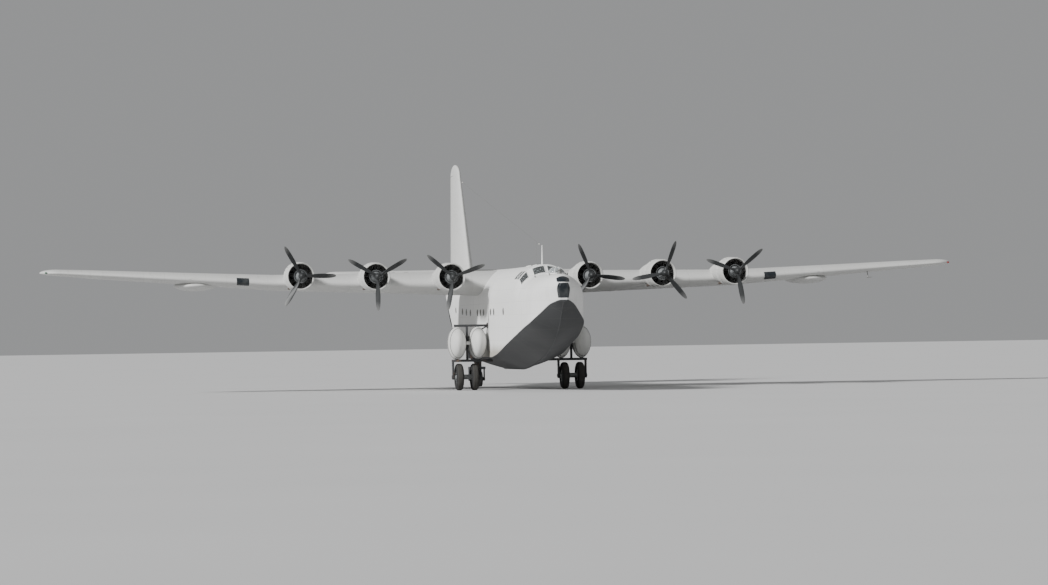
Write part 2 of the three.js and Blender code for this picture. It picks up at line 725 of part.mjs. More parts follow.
// The two tanks stand on the cross beam, with two spacers between them.
function tankPair() {
  const middle = ground((TOP_ARM.foot + CROSS_BEAM.top) / 2);
  const { inner, outer, halfWidth, halfLength } = TANKS;
  const shape = new THREE.SphereGeometry(METRE, 14, 8);
  shape.rotateX(Math.PI / 2);
  shape.scale(halfWidth, halfLength, (TOP_ARM.foot - CROSS_BEAM.top) / 2 - SEAM);
  const tankAt = (x) => solid(shape.clone().translate(...place(x, MAIN_GEAR.station, middle)));
  let pair = tankAt(inner).add(tankAt(outer));
  for (const end of [-0.4, 0.4]) {
    const from = place(inner, MAIN_GEAR.station + end, middle);
    pair = pair.add(rod(from, place(outer, MAIN_GEAR.station + end, middle), 0.08, 10));
  }
  return pair;
}

function mainGear() {
  const [frame, tanks] = [gearFrame(), tankPair()];
  for (const [side, name] of [[1, 'port'], [-1, 'starboard']]) {
    add(`gear_frame_${name}`, side > 0 ? frame : mirrored(frame), gearPaint);
    add(`tanks_${name}`, side > 0 ? tanks : mirrored(tanks), tankPaint);
    twinWheels(`wheels_${name}`, MAIN_GEAR, side, AXLE + 0.002, HUB_END);
  }
}

function tailSaddle() {
  const s = SWIVEL_STATION;
  const block = box(-0.5, 0.5, s - 0.45, s + 0.45, ground(1.46), ground(2.2));
  const plate = rod(place(0, s, ground(1.38)), place(0, s, ground(1.47)), 0.32, 20);
  return block.add(plate)
    .subtract(aftBottom(SEAM));
}

function tailFork() {
  const { station, radius } = TAIL_GEAR;
  const s = SWIVEL_STATION;
  let fork = rod(place(0, s, ground(1.3)), place(0, s, ground(1.38 - RUNNING_GAP)), 0.3, 20);
  fork = fork.add(rod(place(0, s, ground(1.0)), place(0, s, ground(1.32)), 0.14, 12));
  fork = fork.add(box(-0.43, 0.43, s - 0.15, station + 0.15, ground(0.88), ground(1.05)));
  for (const x of [-0.4, 0.4]) {
    fork = fork.add(box(x - 0.03, x + 0.03, station - 0.1, station + 0.1, ground(0.3), ground(0.95)));
  }
  return fork.add(rod(place(-0.4, station, ground(radius)), place(0.4, station, ground(radius)), 0.045, 12));
}

hull();
fittings();
wing();
tail();
engines();
mainGear();
add('tail_saddle', tailSaddle(), gearPaint);
add('tail_fork', tailFork(), gearPaint);
tailWheels();

export default boat;
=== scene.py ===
import math

import bmesh
import bpy
from mathutils import Matrix, Vector


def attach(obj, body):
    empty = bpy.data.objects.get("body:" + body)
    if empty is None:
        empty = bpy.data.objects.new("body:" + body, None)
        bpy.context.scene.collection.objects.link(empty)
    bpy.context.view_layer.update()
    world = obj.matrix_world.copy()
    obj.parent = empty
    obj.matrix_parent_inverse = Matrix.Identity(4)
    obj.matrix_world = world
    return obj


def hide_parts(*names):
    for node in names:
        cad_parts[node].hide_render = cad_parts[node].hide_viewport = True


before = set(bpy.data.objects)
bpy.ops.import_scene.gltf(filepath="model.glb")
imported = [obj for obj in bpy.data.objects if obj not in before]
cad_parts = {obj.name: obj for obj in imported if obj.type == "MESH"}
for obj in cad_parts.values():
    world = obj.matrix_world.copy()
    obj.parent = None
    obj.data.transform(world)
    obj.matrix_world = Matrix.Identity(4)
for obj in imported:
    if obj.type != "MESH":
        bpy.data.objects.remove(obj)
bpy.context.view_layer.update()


# The studio: a plain pale floor, one broad lamp from the left of the bow like a low sun through haze,
# and a wide fill from the other side. The camera stands where the picture was taken, on a longer lens.
FLOOR_SIZE, FLOOR_DROP, FLOOR_DARK, FLOOR_PALE = 400, 0.001, (0.52, 0.52, 0.52), (0.56, 0.56, 0.56)
SKY, SKY_STRENGTH = (0.80, 0.81, 0.82), 0.4
# Azimuth, elevation and spread in degrees, strength
LAMPS = {"sun_through_haze": (-62, 30, 9, 5.2), "fill": (70, 30, 40, 0.2)}
LAMP_DISTANCE = 60
VIEW_AZIMUTH, VIEW_ROLL = math.radians(-9.2), math.radians(-0.85)
VIEW_DISTANCE, EYE_HEIGHT, VIEW_LENS = 95, 1.25, 135
VIEW_CENTRE = Vector((0, -3.6, 2.35))


def added(name, data):
    thing = bpy.data.objects.new(name, data)
    bpy.context.scene.collection.objects.link(thing)
    return thing


def mesh_of(bm, name):
    mesh = bpy.data.meshes.new(name)
    bm.to_mesh(mesh)
    bm.free()
    return mesh


class Value:
    """An output of a shader node. A sum with it makes the math node that works it out."""

    def __init__(self, made, label=0):
        self.node, self.tree, self.socket = made, made.id_data, made.outputs[label]

    def __sub__(self, other):
        return worked("SUBTRACT", self, other)

    def __rsub__(self, other):
        return worked("SUBTRACT", other, self)

    def __mul__(self, other):
        return worked("MULTIPLY", self, other)

    def __truediv__(self, other):
        return worked("DIVIDE", self, other)

    def __abs__(self):
        return worked("ABSOLUTE", self)

    def clamped(self):
        self.node.use_clamp = True
        return self


def feed(made, values):
    """Sets the inputs of a node: values are linked, plain numbers, colours and vectors are set."""
    for label, value in values.items():
        socket = made.inputs[label]
        if isinstance(value, Value):
            value.tree.links.new(value.socket, socket)
        elif isinstance(value, tuple):
            socket.default_value = (*value, 1)[:len(socket.default_value)]
        else:
            socket.default_value = value


def shader_node(tree, kind, values, **settings):
    made = tree.nodes.new("ShaderNode" + kind)
    for setting, value in settings.items():
        setattr(made, setting, value)
    feed(made, values)
    return made


def worked(operation, *values):
    tree = next(value.tree for value in values if isinstance(value, Value))
    return Value(shader_node(tree, "Math", dict(enumerate(values)), operation=operation))


def noise(vector, scale, detail, rough=0.55):
    values = {"Vector": vector, "Scale": scale, "Detail": detail, "Roughness": rough}
    return Value(shader_node(vector.tree, "TexNoise", values), "Fac")


def mixed(factor, a, b):
    return Value(shader_node(factor.tree, "Mix", {0: factor, 6: a, 7: b}, data_type="RGBA"), 2)


def new_material(name):
    """A material, its shader and the coordinates of the piece."""
    material = bpy.data.materials.new(name)
    material.use_nodes = True
    nodes = material.node_tree.nodes
    return material, nodes["Principled BSDF"], Value(nodes.new("ShaderNodeTexCoord"), "Object")


bm = bmesh.new()
bmesh.ops.create_grid(bm, x_segments=1, y_segments=1, size=FLOOR_SIZE)
bmesh.ops.translate(bm, verts=bm.verts, vec=(0, 0, -FLOOR_DROP))
floor = mesh_of(bm, "studio_floor")
material, shader, vector = new_material("pale_floor")
feed(shader, {"Roughness": 0.9, "Base Color": mixed(noise(vector, 0.2, 2, 0.5), FLOOR_DARK, FLOOR_PALE)})
floor.materials.append(material)
added("studio_floor", floor)
for name, (azimuth, elevation, spread, strength) in LAMPS.items():
    lamp = bpy.data.lights.new(name, "SUN")
    lamp.angle, lamp.energy = math.radians(spread), strength
    a, e = math.radians(azimuth), math.radians(elevation)
    back = Vector((math.sin(a) * math.cos(e), -math.cos(a) * math.cos(e), math.sin(e)))
    holder = added(name, lamp)
    holder.location = back * LAMP_DISTANCE
    holder.rotation_euler = back.to_track_quat("Z", "Y").to_euler()
world = bpy.data.worlds.new("studio_sky")
world.use_nodes = True
feed(world.node_tree.nodes["Background"], {"Color": SKY, "Strength": SKY_STRENGTH})
bpy.context.scene.world = world
camera = bpy.data.cameras.new("photo_camera")
camera.sensor_width, camera.lens, camera.clip_end = 36, VIEW_LENS, 900
stand = VIEW_CENTRE + Vector((math.sin(VIEW_AZIMUTH), -math.cos(VIEW_AZIMUTH), 0)) * VIEW_DISTANCE
stand.z = EYE_HEIGHT
look = (stand - VIEW_CENTRE).to_track_quat("Z", "Y").to_matrix()
holder = added("photo_camera", camera)
holder.location = stand
holder.rotation_euler = (look @ Matrix.Rotation(VIEW_ROLL, 3, "Z")).to_euler()
bpy.context.scene.camera = holder


# Hull topsides: light alloy sheet, painted almost white, riveted over frames a metre apart in four
# lengths. The sides are flat above the chine and close over in a round crown.
METRE = 0.5  # the model is half the size of the aircraft
LENGTH = 37.0
KEEL_HEIGHT = 1.0
# Columns: station, keel, chine, half breadth at the chine, half breadth of the side, top, crown height
BOW_LINES = [
    [0.0, 3.12, 3.22, 0.16, 0.2, 4.02, 0.4],
    [0.15, 2.98, 3.16, 0.3, 0.4, 4.22, 0.5],
    [0.45, 2.7, 3.05, 0.5, 0.62, 4.34, 0.65],
    [1.0, 2.18, 2.68, 0.84, 0.92, 4.42, 0.85],
    [1.8, 1.68, 2.25, 1.2, 1.22, 4.45, 1.1],
    [3.0, 1.18, 1.98, 1.34, 1.38, 4.46, 1.25],
    [4.3, 0.84, 1.7, 1.44, 1.47, 4.46, 1.3],
]
WINDSCREEN_LINES = [BOW_LINES[-1], [5.1, 0.69, 1.55, 1.48, 1.5, 4.93, 1.65]]
MAIN_LINES = [
    WINDSCREEN_LINES[-1],
    [7.2, 0.38, 1.2, 1.52, 1.54, 4.92, 1.55],
    [10.2, 0.08, 0.72, 1.55, 1.55, 4.92, 1.5],
    [12.0, 0.0, 0.6, 1.55, 1.55, 4.92, 1.5],
    [17.7, 0.0, 0.6, 1.55, 1.55, 4.95, 1.5],
]
AFT_LINES = [
    [17.7, 0.32, 0.86, 1.55, 1.55, 4.95, 1.5],
    [22.5, 0.56, 1.06, 1.5, 1.54, 4.92, 1.48],
    [27.0, 0.86, 1.36, 1.16, 1.38, 4.8, 1.35],
    [31.0, 1.22, 1.72, 0.55, 1.0, 4.7, 1.05],
    [34.0, 2.36, 2.5, 0.34, 0.62, 4.62, 0.75],
    [37.0, 3.55, 3.62, 0.1, 0.2, 4.3, 0.3],
]
BOW_JOINT, STEP, TAIL_JOINT = 7.2, 17.7, 28.0
SKIN, SKIN_PITCH, WELD = 0.02, 0.4, 0.00005
CROWN_ANGLES = [*range(0, 90, 5), 88, 90]
SIDE_STEPS = 6
SEAM_WIDTH, RIVET_SETBACK, RIVET_REACH, RIVET_PITCH = 0.0035, 0.012, 0.004, 0.025
TIDE_LINE, TIDE_DEPTH, RIB_PITCH = 1.23, 0.2, 0.2


def place(x, station, height):
    """A point of the model from its place on the aircraft: off the middle, behind the bow, above the keel."""
    return Vector((x, station - LENGTH / 2, height + KEEL_HEIGHT)) * METRE


def fair(table, station):
    """The row at a station on fair curves through the table, which never overshoot its values."""
    i = max(1, next((k for k, row in enumerate(table) if row[0] >= station), len(table) - 1))
    low, high = table[i - 1], table[i]
    span = high[0] - low[0]
    t = min(max((station - low[0]) / span, 0), 1)
    row = [station]
    for column in range(1, len(low)):
        rise = (high[column] - low[column]) / span
        ends = []
        for a, b in ((i - 2, i - 1), (i, i + 1)):
            if a < 0 or b >= len(table):
                ends.append(rise)
                continue
            other = (table[b][column] - table[a][column]) / (table[b][0] - table[a][0])
            ends.append(2 * rise * other / (rise + other) if rise * other > 0 else 0.0)
        h00, h10 = 2 * t ** 3 - 3 * t ** 2 + 1, t ** 3 - 2 * t ** 2 + t
        h01, h11 = 3 * t ** 2 - 2 * t ** 3, t ** 3 - t ** 2
        row.append(h00 * low[column] + h10 * span * ends[0] + h01 * high[column] + h11 * span * ends[1])
    return row


def hull_row(station, behind_step=False):
    if not behind_step:
        for table in (BOW_LINES, WINDSCREEN_LINES, MAIN_LINES):
            if station <= table[-1][0] + 1e-6:
                return fair(table, station)
    return fair(AFT_LINES, station)


def stations(first, last, step, also=()):
    count = max(1, round((last - first) / step))
    grid = {round(first + (last - first) * i / count, 4) for i in range(count + 1)}
    grid = {s for s in grid if all(abs(s - extra) > step * 0.3 for extra in also)}
    return sorted(grid | {first, last} | set(also))


def loft(bm, sections):
    """Pulls a circle of points to the first section, then extrudes it from section to section."""
    circle = bmesh.ops.create_circle(bm, segments=len(sections[0]), radius=1)["verts"]
    loop = circle[:1]
    while len(loop) < len(circle):
        ahead = [edge.other_vert(loop[-1]) for edge in loop[-1].link_edges]
        loop.append(next(vert for vert in ahead if vert not in loop[-2:]) if len(loop) > 1 else ahead[0])
    first = loop
    for vert, point in zip(loop, sections[0]):
        vert.co = point
    for section in sections[1:]:
        edges = [bm.edges.get((a, b)) for a, b in zip(loop, loop[1:] + loop[:1])]
        made = bmesh.ops.extrude_edge_only(bm, edges=edges)["geom"]
        fresh = {item for item in made if isinstance(item, bmesh.types.BMVert)}
        loop = [next(e.other_vert(v) for e in v.link_edges if e.other_vert(v) in fresh) for v in loop]
        for vert, point in zip(loop, section):
            vert.co = point
    return first, loop


def solid(bm, sections):
    """A loft with both ends closed."""
    for loop in loft(bm, sections):
        bmesh.ops.contextual_create(bm, geom=loop)


def finish_piece(bm, name, material, slot, node=None, body="airframe", sharp=32, stain=None, lining=None):
    """Welds and turns out the mesh, shades it smooth between its sharp edges and hangs it on its body.
    It may take the place of a node. The stain gives each point's share of soot or wear, from 0 to 1, which
    the paint reads as an attribute. The lining is a second material."""
    bmesh.ops.remove_doubles(bm, verts=bm.verts, dist=WELD)
    bmesh.ops.recalc_face_normals(bm, faces=bm.faces)
    mesh = mesh_of(bm, name)
    mesh.shade_smooth()
    mesh.set_sharp_from_angle(angle=math.radians(sharp))
    mesh.materials.append(material)
    if stain:
        shares = mesh.attributes.new("stain", "FLOAT", "POINT").data
        for vert, share in zip(mesh.vertices, shares):
            share.value = stain(vert.co)
    piece = added(name, mesh)
    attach(piece, body)
    if lining:
        mesh.materials.append(lining)
    if node:
        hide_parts(node)


def lofted(sections, *finish, **options):
    bm = bmesh.new()
    solid(bm, sections)
    finish_piece(bm, *finish, **options)


def outline(station, half, foot=0):
    """A closed outline from its port half, of which the first and last points may lie on the centre line."""
    full = half + [(-x, h) for x, h in reversed(half[foot:-1] if half[-1][0] == 0 else half[foot:])]
    return [place(x, station, h) for x, h in full]


def topside_section(row, sills=None):
    """Half of the section goes up the flat side, through the given heights or evenly, and round the crown."""
    station, _, chine, foot, side, top, crown = row
    shoulder = top - crown
    heights = [chine, (chine + sills[0]) / 2, *sills] if sills else [
        chine + (shoulder - chine) * i / SIDE_STEPS for i in range(SIDE_STEPS)]
    half = [(foot + (side - foot) * (h - chine) / (shoulder - chine), h) for h in heights]
    for degrees in CROWN_ANGLES:
        a = math.radians(degrees)
        half.append((side * math.cos(a) if degrees < 90 else 0, shoulder + crown * math.sin(a)))
    return outline(station, half)


def shader_group(name, inputs, outputs):
    """A group of shader nodes: the group, its inputs as values and its output node."""
    group = bpy.data.node_groups.new(name, "ShaderNodeTree")
    for label, kind in inputs.items():
        group.interface.new_socket(label, in_out="INPUT", socket_type="NodeSocket" + kind)
    for label in outputs:
        group.interface.new_socket(label, in_out="OUTPUT", socket_type="NodeSocketFloat")
    start = group.nodes.new("NodeGroupInput")
    return group, [Value(start, label) for label in inputs], group.nodes.new("NodeGroupOutput")


def seam_group():
    """Plate seams and rivet rows on a grid: along the first axis by frame, along the second by strake. Each
    plate also has a tone of its own."""
    kinds = {"Along": "Float", "Across": "Float", "Frame": "Float", "Strake": "Float"}
    group, starts, end = shader_group("plate_seams", kinds, ["Seam", "Rivet", "Plate"])
    along, across, pitch, strake = starts
    cells, seams, rivets = [], [], []
    for position, distance, other in ((along, pitch, across), (across, strake, along)):
        turns = position / distance
        cells.append(worked("FLOOR", turns * 0.5))
        away = (0.5 - abs(worked("FRACT", turns) - 0.5)) * distance
        seams.append((1 - away / SEAM_WIDTH).clamped())
        row = (1 - abs(away - RIVET_SETBACK) / RIVET_REACH).clamped()
        rivets.append(row * (1 - abs(worked("FRACT", other / RIVET_PITCH) - 0.5) * 5).clamped())
    cell = Value(shader_node(group, "CombineXYZ", dict(enumerate(cells))))
    tone = Value(shader_node(group, "TexWhiteNoise", {"Vector": cell}), "Value")
    feed(end, {"Seam": worked("MAXIMUM", *seams), "Rivet": worked("MAXIMUM", *rivets), "Plate": tone})
    return group


def weather_group():
    """Grime that runs down in streaks, and broad cloudy fading, both from 0 to 1."""
    kinds = {"Vector": "Vector", "Runs": "Vector", "Amount": "Float"}
    group, (vector, runs, amount), end = shader_group("weathering", kinds, ["Streaks", "Fading", "Speckle"])
    streaks = ((noise(runs, 2.2, 5, 0.6) - 0.56).clamped() * 4).clamped()
    specks = ((noise(vector, 42, 2) - 0.68).clamped() * 9).clamped()
    clouds = noise(vector, 0.7, 5)
    feed(end, {"Streaks": streaks * amount, "Fading": clouds * amount, "Speckle": specks * amount})
    return group


SEAMS, WEATHER = seam_group(), weather_group()


def stretched(vector, scale):
    return Value(shader_node(vector.tree, "Mapping", {"Scale": scale, "Vector": vector}))


def relief(height, strength, distance):
    values = {"Strength": strength, "Distance": distance, "Height": height}
    return Value(shader_node(height.tree, "Bump", values))


def painted_metal(name, colour, grime, across="Z", frame_pitch=0.5, strake=0.3, amount=1.0, rough=0.5,
                  metallic=0.0, bump=0.25, run=(5, 5, 0.35), streaks=0.3, soot=(0.03, 0.027, 0.024),
                  silt=None, ribs=None):
    """Weathered paint over riveted plate. Colours are linear; seams follow the length and the axis across.
    Dirt runs along the axis where run is least, and soot lies where the piece has its stain. Silt is the tide
    mark of muddy water, with a ragged upper edge. Ribs is the axis along which fabric dips between its ribs,
    under their tapes."""
    material, shader, vector = new_material(name)
    tree = vector.tree
    axes = shader_node(tree, "SeparateXYZ", {0: vector})
    weather = shader_node(tree, "Group", {
        "Amount": amount, "Vector": vector, "Runs": stretched(vector, run)}, node_tree=WEATHER)
    streaked, faded, specked = (Value(weather, label) for label in ("Streaks", "Fading", "Speckle"))
    paint = mixed(faded, colour, tuple(c * 0.84 for c in colour))
    paint = mixed(streaked * streaks, paint, grime)
    paint = mixed(specked * 0.22, paint, grime)
    height = noise(vector, 3.0, 2)
    if frame_pitch:
        seams = shader_node(tree, "Group", {
            "Frame": frame_pitch, "Strake": strake, "Along": Value(axes, "Y"), "Across": Value(axes, across)},
            node_tree=SEAMS)
        paint = mixed(Value(seams, "Seam") * 0.5, paint, grime)
        paint = mixed(Value(seams, "Plate") * 0.5, paint, tuple(c * 0.86 for c in colour))
        height = worked("MULTIPLY_ADD", Value(seams, "Seam"), -0.35, height)
        height = worked("MULTIPLY_ADD", Value(seams, "Rivet"), 0.25, height)
    if ribs:
        swing = abs(worked("FRACT", Value(axes, ribs) / RIB_PITCH) - 0.5)
        tape = ((swing - 0.42).clamped() * 10).clamped()
        height = worked("MULTIPLY_ADD", tape, 0.5, worked("MULTIPLY_ADD", swing, 1.6, height))
    stain = Value(shader_node(tree, "Attribute", {}, attribute_name="stain"), "Fac")
    patchy = worked("MULTIPLY_ADD", noise(vector, 6.0, 5), 0.9, 0.35)
    paint = mixed((stain * patchy).clamped(), paint, soot)
    if silt:
        ragged = noise(stretched(vector, (1.2, 1.2, 0.5)), 2.6, 7, 0.65)
        below = ((TIDE_LINE - worked("MULTIPLY_ADD", ragged, 0.2, Value(axes, "Z"))) / TIDE_DEPTH).clamped()
        paint = mixed(below * 0.75, paint, silt)
    roughness = worked("MULTIPLY_ADD", streaked, 0.12, worked("MULTIPLY_ADD", faded, 0.2, rough)).clamped()
    feed(shader, {"Metallic": metallic, "Specular IOR Level": 0.35, "Base Color": paint,
                  "Roughness": roughness, "Normal": relief(height, bump, 0.006)})
    return material


TOPSIDE_PAINT = painted_metal("topside_paint", (0.82, 0.82, 0.805), (0.28, 0.265, 0.235), amount=0.7,
                              streaks=0.42, silt=(0.30, 0.275, 0.215))
# Cockpit windows. Columns: front, back, lower and upper crown angle
COCKPIT_WINDOWS = [
    [4.42, 5.0, 65, 88], [4.5, 5.05, 35, 55], [5.15, 5.75, 35, 55], [5.85, 6.45, 35, 55],
    [5.15, 5.75, 70, 85],
]
WINDOW_EDGES = {edge for row in COCKPIT_WINDOWS for edge in row[:2]}
# Rows of the skin at the stem, which its two panes lie on
STEM_STATIONS = [0.03, 0.07, 0.11, 0.15, 0.2, 0.25, 0.3]


def window_faces(bm):
    """The faces of a bow skin that lie inside the cockpit windows."""
    chosen = []
    for face in bm.faces:
        x, y, z = face.calc_center_median() / METRE
        station = y + LENGTH / 2
        _, _, _, _, side, top, crown = hull_row(station)
        angle = math.degrees(math.atan2((z - KEEL_HEIGHT - top + crown) / crown, abs(x) / side))
        if any(f < station < b and low < angle < high for f, b, low, high in COCKPIT_WINDOWS):
            chosen.append(face)
    return chosen


def bow_grid(bm):
    along = stations(0.0, BOW_JOINT, 0.15, (*STEM_STATIONS, 4.3, 5.1, *WINDOW_EDGES))
    return loft(bm, [topside_section(hull_row(s)) for s in along])


def keel_face(face):
    """Whether a face spans the hull from side to side along its foot."""
    across = [vert.co.x for vert in face.verts]
    return min(across) < 0 < max(across) and min(map(abs, across)) > 1e-4


bm = bmesh.new()
bmesh.ops.contextual_create(bm, geom=bow_grid(bm)[0])
bmesh.ops.delete(bm, geom=window_faces(bm), context="FACES")
bmesh.ops.delete(bm, geom=[face for face in bm.faces if keel_face(face)], context="FACES")
bmesh.ops.remove_doubles(bm, verts=bm.verts, dist=WELD)
bmesh.ops.recalc_face_normals(bm, faces=bm.faces)
bmesh.ops.solidify(bm, geom=bm.faces[:], thickness=SKIN)
finish_piece(bm, "bow_skin", TOPSIDE_PAINT, "topside_paint", "hull_bow", sharp=28)
for name, node, first, last in (
        ("aft_skin", "hull_aft", STEP, TAIL_JOINT), ("tail_skin", "hull_tail", TAIL_JOINT, LENGTH)):
    lofted([topside_section(hull_row(s, True)) for s in stations(first, last, SKIN_PITCH)],
           name, TOPSIDE_PAINT, "topside_paint", node)


# Hull centre: the long parallel body under the wing, of the same riveted sheet, with the entry on the
# port side. The doorway opens into a small painted lobby, and two lugs in front of it carry the door.
DOOR_FRONT, DOOR_BACK, DOOR_SILL, DOOR_HEAD = 9.2, 10.1, 1.55, 3.3
HINGE_OUT, HINGE_STATION, HINGE_FOOT, HINGE_TOP = 1.58, 9.19, 1.75, 3.1
# The doorway's walls, ring by ring. Columns: inwards, along and up from its middle, lining
LOBBY_RINGS = [[0.055, 0, 0, 0], [0, 0.2, 0.1, 1], [1.03, 0, 0, 1]]
LOBBY_PAINT = painted_metal("lobby_paint", (0.20, 0.22, 0.19), (0.05, 0.05, 0.04), frame_pitch=0.22,
                            strake=0.22, rough=0.6)


def rod(bm, start, end, radius, sides=16):
    """A round bar between two points of the model, with its radius in metres of the aircraft."""
    along = end - start
    matrix = Matrix.Translation((start + end) / 2) @ along.to_track_quat("Z", "Y").to_matrix().to_4x4()
    bmesh.ops.create_cone(bm, cap_ends=True, segments=sides, radius1=radius * METRE, radius2=radius * METRE,
                          depth=along.length, matrix=matrix)


def block(bm, limits, edge=0.008, segments=2):
    """A bar with rounded edges. Limits: inner and outer x, front, back, foot, top."""
    x0, x1, front, back, foot, top = limits
    low, high = place(x0, front, foot), place(x1, back, top)
    corners = bmesh.ops.create_cube(bm, size=1)["verts"]
    bmesh.ops.scale(bm, verts=corners, vec=high - low)
    bmesh.ops.translate(bm, verts=corners, vec=(low + high) / 2)
    edges = list({item for vert in corners for item in vert.link_edges})
    bmesh.ops.bevel(bm, geom=edges, offset=edge * METRE, offset_type="OFFSET", segments=segments,
                    profile=0.5, affect="EDGES", material=-1)


bm = bmesh.new()
solid(bm, [topside_section(hull_row(s), (DOOR_SILL, 2.1, 2.7, DOOR_HEAD))
           for s in stations(BOW_JOINT, STEP, SKIN_PITCH, (DOOR_FRONT, DOOR_BACK))])
low, high = place(1, DOOR_FRONT - 0.01, DOOR_SILL - 0.01), place(2, DOOR_BACK + 0.01, DOOR_HEAD + 0.01)
doorway = [face for face in bm.faces
           if all(low[axis] < vert.co[axis] < high[axis] for vert in face.verts for axis in range(3))]
bmesh.ops.delete(bm, geom=doorway, context="FACES")
rim = [edge for edge in bm.edges if edge.is_boundary]
middle = (low + high) / 2
for inward, along, up, lining in LOBBY_RINGS:
    made = bmesh.ops.extrude_edge_only(bm, edges=rim)["geom"]
    for item in made:
        if isinstance(item, bmesh.types.BMFace):
            item.material_index = lining
        elif isinstance(item, bmesh.types.BMVert):
            item.co.x -= inward * METRE
            item.co.y += math.copysign(along * METRE, item.co.y - middle.y)
            item.co.z += math.copysign(up * METRE, item.co.z - middle.z)
    rim = [item for item in made if isinstance(item, bmesh.types.BMEdge) and item.is_boundary]
for face in bmesh.ops.contextual_create(bm, geom=rim)["faces"]:
    face.material_index = 1
finish_piece(bm, "centre_skin", TOPSIDE_PAINT, "topside_paint", "hull_centre", lining=LOBBY_PAINT)
bm = bmesh.new()
for foot, top in ((HINGE_FOOT - 0.1, HINGE_FOOT - 0.001), (HINGE_TOP + 0.001, HINGE_TOP + 0.1)):
    rod(bm, place(HINGE_OUT, HINGE_STATION, foot), place(HINGE_OUT, HINGE_STATION, top), 0.025, 20)
    block(bm, (1.54, HINGE_OUT, HINGE_STATION - 0.022, HINGE_STATION + 0.006, foot, top), 0.003)
finish_piece(bm, "door_lugs", TOPSIDE_PAINT, "topside_paint")


# Entry door: one pressed panel that lies flush in the doorway and swings forwards on a long hinge
# barrel, with a round window and a lever handle.
DOOR_GAP, DOOR_INSIDE, DOOR_OUTSIDE = 0.016, 1.497, 1.551
DOOR_PANE_STATION, DOOR_PANE_HEIGHT, PANE_RADIUS = 9.68, 2.78, 0.13
HANDLE_STATION, HANDLE_HEIGHT = 9.93, 2.35


def glass(name, colour, clear=0.0, haze=0.14):
    """Window glass with dust in its corners: either dark, its colour a painted shade for the dim cabin behind
    it, or see-through.
    """
    material, shader, vector = new_material(name)
    dust = ((noise(vector, 3.5, 5) - 0.45).clamped() * 0.6).clamped()
    feed(shader, {"Transmission Weight": clear, "IOR": 1.46,
                  "Base Color": mixed(dust, colour, (0.3, 0.3, 0.28)),
                  "Roughness": worked("MULTIPLY_ADD", noise(vector, 9.0, 4), haze, 0.02),
                  "Normal": relief(noise(vector, 1.5, 2), 0.06, 0.004)})
    return material


# These panes are opaque and nearly black: their colour is painted shade, standing for the unlit inside behind
# them.
PAINTED_SHADE_GLASS = glass("painted_shade_glass", (0.012, 0.016, 0.02))
RIM_METAL = painted_metal("rim_metal", (0.30, 0.30, 0.29), (0.08, 0.075, 0.07), frame_pitch=0, amount=0.9,
                          rough=0.38, metallic=0.7)


def turned(bm, profile, centre, axis, segments=48, closed=False):
    """Turns a profile of radius and distance, in metres of the aircraft, around an axis through a point."""
    axis = Vector(axis)
    side = axis.orthogonal().normalized()
    verts = [bm.verts.new(centre + (side * radius + axis * distance) * METRE) for radius, distance in profile]
    edges = [bm.edges.new(pair) for pair in zip(verts, verts[1:] + verts[:closed])]
    bmesh.ops.spin(bm, geom=verts + edges, cent=centre, axis=axis, angle=2 * math.pi, steps=segments,
                   use_merge=True)


def porthole(rims, panes, centre, radius, way):
    """A round pane and its pressed ring on the port side, where way is 1, or on the other, where it is -1."""
    turned(rims, [(radius, -0.01), (radius, 0.014), (radius + 0.012, 0.022), (radius + 0.035, 0.016),
                  (radius + 0.045, -0.01)], centre, (way, 0, 0), 32, closed=True)
    turned(panes, [(0, -0.01), (radius + 0.01, -0.01), (radius + 0.01, 0.004), (radius * 0.7, 0.009),
                   (0, 0.012)], centre, (way, 0, 0), 24)


bm = bmesh.new()
block(bm, (DOOR_INSIDE, DOOR_OUTSIDE, DOOR_FRONT + DOOR_GAP, DOOR_BACK - DOOR_GAP,
           DOOR_SILL + DOOR_GAP, DOOR_HEAD - DOOR_GAP), 0.01, 3)
block(bm, (1.53, 1.568, HINGE_STATION + 0.004, DOOR_FRONT + 0.14, HINGE_FOOT, HINGE_TOP), 0.006)
rod(bm, place(HINGE_OUT, HINGE_STATION, HINGE_FOOT), place(HINGE_OUT, HINGE_STATION, HINGE_TOP), 0.025, 20)
block(bm, (DOOR_OUTSIDE, DOOR_OUTSIDE + 0.005, DOOR_FRONT + 0.2, DOOR_BACK - 0.12, DOOR_SILL + 0.12,
           2.3), 0.002)
finish_piece(bm, "door_panel", TOPSIDE_PAINT, "topside_paint", "entry_door", "entry_door")
bm, pane = bmesh.new(), bmesh.new()
porthole(bm, pane, place(DOOR_OUTSIDE, DOOR_PANE_STATION, DOOR_PANE_HEIGHT), PANE_RADIUS, 1)
rod(bm, place(1.54, HANDLE_STATION, HANDLE_HEIGHT), place(1.585, HANDLE_STATION, HANDLE_HEIGHT), 0.025)
block(bm, (1.575, 1.59, HANDLE_STATION - 0.1, HANDLE_STATION + 0.02, HANDLE_HEIGHT - 0.015,
           HANDLE_HEIGHT + 0.015), 0.006)
finish_piece(bm, "door_fittings", RIM_METAL, "gear_paint", body="entry_door")
finish_piece(pane, "door_pane", PAINTED_SHADE_GLASS, "glazing", body="entry_door")


# Cabin windows: round panes in pressed rings, riveted to both sides above the waterline. The door keeps
# its own on the port side.
# Columns: station, height of the middle, radius of the pane
CABIN_WINDOWS = [
    [8.0, 2.78, 0.13], [10.9, 2.78, 0.13], [11.9, 2.78, 0.13], [14.2, 2.78, 0.13], [15.2, 2.78, 0.13],
    [16.2, 2.78, 0.13], [18.6, 2.8, 0.13], [20.0, 2.84, 0.13], [21.4, 2.88, 0.13], [24.0, 2.98, 0.11],
]


